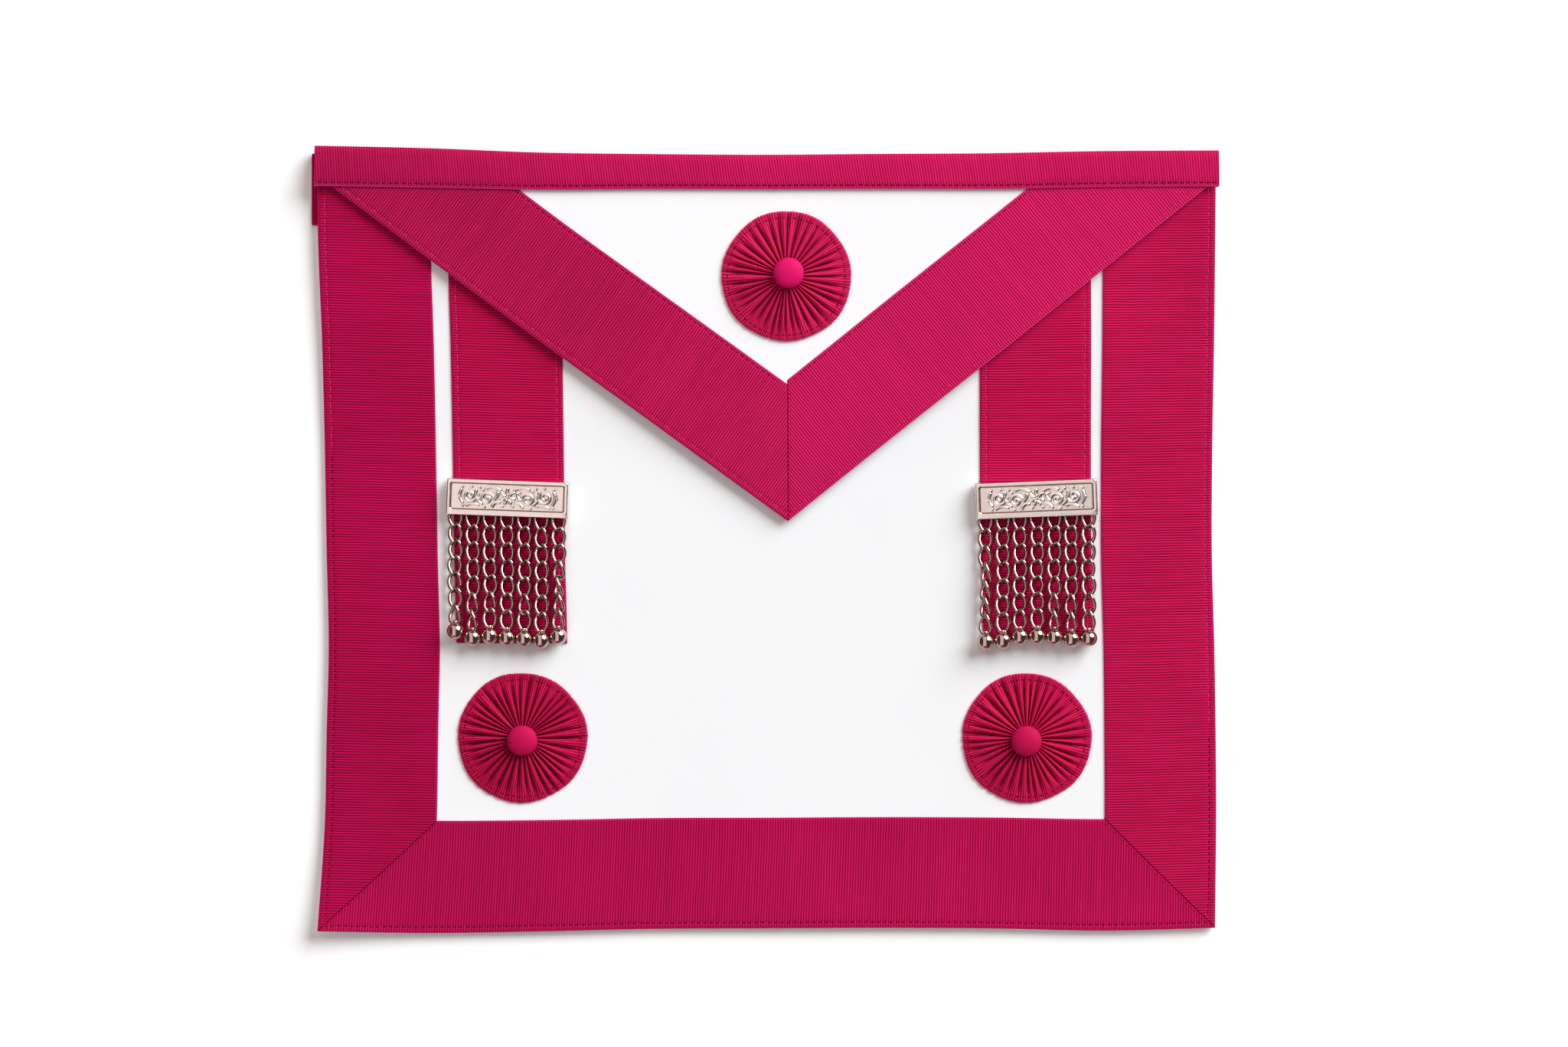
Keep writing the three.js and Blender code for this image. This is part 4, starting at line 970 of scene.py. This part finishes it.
# The flap's button is a lighter copy, and the side buttons a darker copy, of one cloth: painted light and
# shade.
FLAP_BUTTON_PAINTED_LIGHTER = button_cloth("plain_woven_rayon_painted_lighter", "#DA1266", "#C80858")
SIDE_BUTTON_PAINTED_DARKER = button_cloth("plain_woven_rayon_painted_darker", "#BE0E4E", "#AD0642")
PLATE_METAL = nickel("cast_nickel_plate", ("#EAE1D9", "#F6EFE8"), 0.2, 0.1, 0.2, "recess", "#846A5E")
CHAIN_METAL = nickel("plated_chain_wire", ("#A3887F", "#BC9F96"), 0.09, 0.08, 0.12, "polished", "#C6ABA0")
# The dark thread is painted shade: the real thread matches the ribbon, and its dark tone stands for the
# shade in the sunk stitches.
THREAD_PAINTED_SHADE = thread("crimson_thread", "#700628", "#420016")
PINK_THREAD = thread("pale_crimson_thread", "#DE3C7C", "#B01E56")

body = place_piece(piece("leather_body", leather_body(), BODY_SKIN), "white_leather", "body_panel")
flap = place_piece(piece("leather_flap", leather_flap(), FLAP_SKIN_PAINTED_LIGHTER), "white_leather", "flap_panel")


def cloth_piece(name, made, dye_and_light, node, flat, held="laid", rests="leather_body", area=None):
    """A ribbon from its shell and cloth map, in its tones of dye and painted light. flat and area, those
    of the flat cloth in metres, are not used."""
    shell, cloth = made
    # The ribbon's material holds its dye and the painted light of its tones.
    made = place_piece(piece(name, shell, RIBBONS[dye_and_light], cloth), "crimson_grosgrain", node)


SIDES = {"left": -1, "right": 1}
TWO_INCH = 0.0508
for side, way in SIDES.items():
    names = f"ribbon_border_{side}", side_border(way), f"{side}_border", f"border_ribbon_{side}"
    cloth_piece(*names, (TWO_INCH, 0.3415), area=0.0161)
cloth_piece("ribbon_border_hem", hem_border(), "hem", "border_ribbon_hem", (TWO_INCH, 0.4054), area=0.018)
cloth_piece("ribbon_waist_band", waist_band(), "waist_band", "waist_band", (0.0375, 0.408), "folded")
for side, length, area in (("left", 0.2616, 0.0106), ("right", 0.2479, 0.0100)):
    names = f"ribbon_flap_{side}", flap_border(SIDES[side]), f"flap_{side}", f"flap_ribbon_{side}"
    cloth_piece(*names, (TWO_INCH, length), rests="leather_flap", area=area)
for side, length in (("left", 0.378), ("right", 0.144)):
    strap = f"belt_strap_{side}"
    names = f"belt_{side}", belt_strap(strap, SIDES[side]), f"{side}_border", strap
    cloth_piece(*names, (0.034, length), "folded", ())
for side, settings in TASSELS.items():
    names = f"ribbon_tassel_{side}", tassel_border(settings), f"tassel_{side}", f"tassel_ribbon_{side}"
    cloth_piece(*names, (TWO_INCH, 0.21))

for name, spot in ROSETTES.items():
    x, y = spot["x"] * BODY_WIDTH + spot["beside"], spot["y"] * APRON_DEPTH
    if name == "flap":
        slope, level = (FLAP_HEEL_LIFT - FLAP_TIP_LIFT) / (HINGE_Y - FLAP_TIP[1]), on_flap(x, y) + 0.25
    else:
        slope, level = 0.0, on_leather(x, y) + CLOSE
    level = float(level)
    shell, cloth, fold = rosette(x, y, level, slope, spot["seed"])
    # Each rosette's material is a lighter or darker copy of one cloth: painted light and shade.
    dye_and_light = RIBBONS[f"rosette_{name}"]
    pleated = piece(f"pleated_rosette_{name}", shell, dye_and_light, cloth, crease=75, fold=fold)
    place_piece(pleated, "crimson_grosgrain", f"rosette_{name}")
    ring = piece(f"stitching_rosette_{name}", rosette_ring(x, y, level, slope), THREAD_PAINTED_SHADE)
    place_piece(ring, "crimson_grosgrain")
    dome = covered_button(f"button_{name}", spot["beside"])
    button = piece(f"covered_button_{name}", dome, FLAP_BUTTON_PAINTED_LIGHTER if name == "flap" else SIDE_BUTTON_PAINTED_DARKER)
    place_piece(button, "button_cloth", f"button_{name}")

for side in TASSELS:
    shell, recess = tassel_plate(side)
    made = piece(f"cast_plate_{side}", shell, PLATE_METAL, crease=50, recess=recess)
    place_piece(made, "nickel_plate", f"tassel_plate_{side}")
    for number in range(CHAINS):
        shell, polished = chain(side, number)
        made = piece(f"curb_chain_{side}_{number + 1}", shell, CHAIN_METAL, crease=60, polished=polished)
        place_piece(made, "nickel_plate", f"chain_{side}_{number + 1}")
place_piece(piece("belt_clasp_plate", belt_clasp(), CHAIN_METAL), "nickel_plate", "belt_clasp")

SINK = 0.16  # how far a stitch's middle lies below the top of the cloth


def over_leather(x, y):
    return on_leather(x, y) + CLOSE + CLOTH - SINK


def over_flap(x, y):
    return on_flap(x, y) + CLOSE + CLOTH - SINK


def over_band(x, y):
    return np.full(np.shape(x), FLAP_HEEL_LIFT + FLAP_LEATHER + 2 * CLOSE + 2 * CLOTH - 0.14)


half, inner = BODY_WIDTH / 2, BODY_WIDTH / 2 - RIBBON_WIDTH
side_line, mitre_top = half - SIDE_SEAM, RIBBON_WIDTH - 1.6
across_band = np.linspace(-BAND_LENGTH / 2 + 1, BAND_LENGTH / 2 - 1, 60)
band_low = HINGE_Y + BAND_SEAM + band_rise(across_band)
middle_x, low = FLAP_TIP + (1.3, 3)
# Stitches in the dark thread, whose darkness is painted shade in the sunk stitch lines.
dark = [
    seam([(-side_line, 6), (-side_line, 215)], over_leather, 2.9, 1.9, seed=1),
    seam([(side_line, 6), (side_line, 90)], over_leather, 2.9, 1.9, seed=2),
    seam([(-half + 5, HEM_SEAM), (half - 5, HEM_SEAM)], over_leather, 2.9, 1.9, seed=3),
    seam([(-half + 3, 1.4), (-inner, mitre_top)], over_leather, 2.7, 1.9, seed=4),
    seam([(half - 3, 1.4), (inner, mitre_top)], over_leather, 2.7, 1.9, seed=5),
    seam(np.stack([across_band, band_low], -1), over_band, 2.9, 2.2, seed=6),
    seam([(middle_x, low), (middle_x, 248)], over_flap, 2.7, 1.7, 0.35, seed=7),
]
pale = [
    seam([(-side_line, 218), (-side_line, HINGE_Y)], over_leather, 3.6, 2.9, 0.36, seed=8),
    seam([(side_line, 93), (side_line, HINGE_Y)], over_leather, 3.6, 2.9, 0.36, seed=9),
]
for side in SIDES.values():
    run, inward = flap_frame(side)
    for across, first, last, group in (
        (FLAP_SEAM, 4, 255, pale),
        (RIBBON_WIDTH - FLAP_INNER_SEAM, 42, 190, dark),
    ):
        start, end = (FLAP_TIP + run * along + inward * across for along in (first, last))
        end = start + (end - start) * min(1, (HINGE_Y - start[1]) / (end[1] - start[1]))
        group.append(seam([start, end], over_flap, 2.9, 1.9, 0.34, seed=10 + side))
for settings in TASSELS.values():
    for side in SIDES.values():
        ends = settings["end"] * APRON_DEPTH + 2, HINGE_Y
        beside = side * (RIBBON_WIDTH / 2 - TASSEL_SEAM)
        line = [(tassel_middle(settings, y) + beside, y) for y in ends]
        pale.append(seam(line, over_leather, 4.6, 3.9, 0.4, seed=20 + side))
place_piece(piece("stitching_dark", gather(dark), THREAD_PAINTED_SHADE), "crimson_grosgrain")
place_piece(piece("stitching_pale", gather(pale), PINK_THREAD), "crimson_grosgrain")


# Studio

paper, tree, shader = finish_of("seamless_white_paper", Roughness=0.9, Specular_IOR_Level=0.1)
place = add(tree, "TexCoord").outputs["Object"]
fibres = add(tree, "TexNoise", {"Vector": place, "Scale": 60.0, "Detail": 3.0})
colour = add(tree, "Mix", {0: fibres, 6: linear("#FAFAFA"), 7: linear("#FCFCFC")}, data_type="RGBA")
feed(tree, shader, {"Base Color": colour.outputs[2]})
FLOOR_REACH, FLOOR_LEVEL = 9000.0, -0.05
corners = [(-1, -1), (1, -1), (1, 1), (-1, 1)]
corners = np.array([(x * FLOOR_REACH, y * FLOOR_REACH, FLOOR_LEVEL) for x, y in corners])
floor = piece("paper_floor", (corners, [np.array([[0, 1, 2, 3]])]), paper)

scene = bpy.context.scene
scene.view_settings.view_transform = "Standard"
scene.view_settings.look = "None"

# A dark room with one long pale panel overhead, a little to the left, which the metal mirrors. The
# table reaches the horizon against a pale wall, for views from the side.
world = bpy.data.worlds.new("studio_room")
world.use_nodes = True
scene.world = world
tree = world.node_tree
tree.nodes.clear()
axes = add(tree, "SeparateXYZ", {0: add(tree, "TexCoord").outputs["Generated"]})
length_way = add(tree, "Math", {0: axes.outputs[1]}, operation="ABSOLUTE")
panel = add(tree, "MapRange", {0: axes.outputs[2], 1: 0.0, 2: 0.1})
for way, outside, inside in (
    (axes.outputs[0], -0.6, -0.52),
    (axes.outputs[0], 0.16, 0.08),
    (length_way, 0.95, 0.85),
):
    ends = add(tree, "MapRange", {0: way, 1: outside, 2: inside}, interpolation_type="SMOOTHSTEP")
    panel = add(tree, "Math", {0: panel, 1: ends}, operation="MULTIPLY")
light = add(tree, "MapRange", {0: panel, 3: 0.07, 4: 1.05})
room = add(tree, "Background", {"Color": (1.0, 0.87, 0.86, 1.0), "Strength": light})
wall = add(tree, "Background", {"Color": (1.0, 0.99, 0.98, 1.0), "Strength": 0.9})
seen = add(tree, "MixShader", {0: add(tree, "LightPath").outputs["Is Camera Ray"], 1: room, 2: wall})
add(tree, "OutputWorld", {"Surface": seen})

# The key is a large soft light low on the upper right, towards x, y and z.
key = bpy.data.lights.new("key_light", "SUN")
key.angle, key.energy = math.radians(44), 4.85
key.color = (0.92, 0.995, 1.0)
key_lamp = bpy.data.objects.new("key_light", key)
towards = (0.63, 0.6, 0.49)
tilt, heading = math.atan2(math.hypot(*towards[:2]), towards[2]), math.atan2(towards[1], towards[0])
key_lamp.rotation_euler = (tilt, 0, heading + math.pi / 2)
scene.collection.objects.link(key_lamp)

camera = bpy.data.cameras.new("overhead_camera")
DISTANCE, VIEW_WIDTH, SENSOR_WIDTH = 2.6, 0.708, 36
camera.sensor_width = SENSOR_WIDTH
camera.lens = SENSOR_WIDTH * DISTANCE / VIEW_WIDTH
camera.clip_start, camera.clip_end = 0.05, 20
overhead_camera = bpy.data.objects.new("overhead_camera", camera)
overhead_camera.location = (0.00918, 0.0069, DISTANCE + 0.004)
scene.collection.objects.link(overhead_camera)
scene.camera = overhead_camera
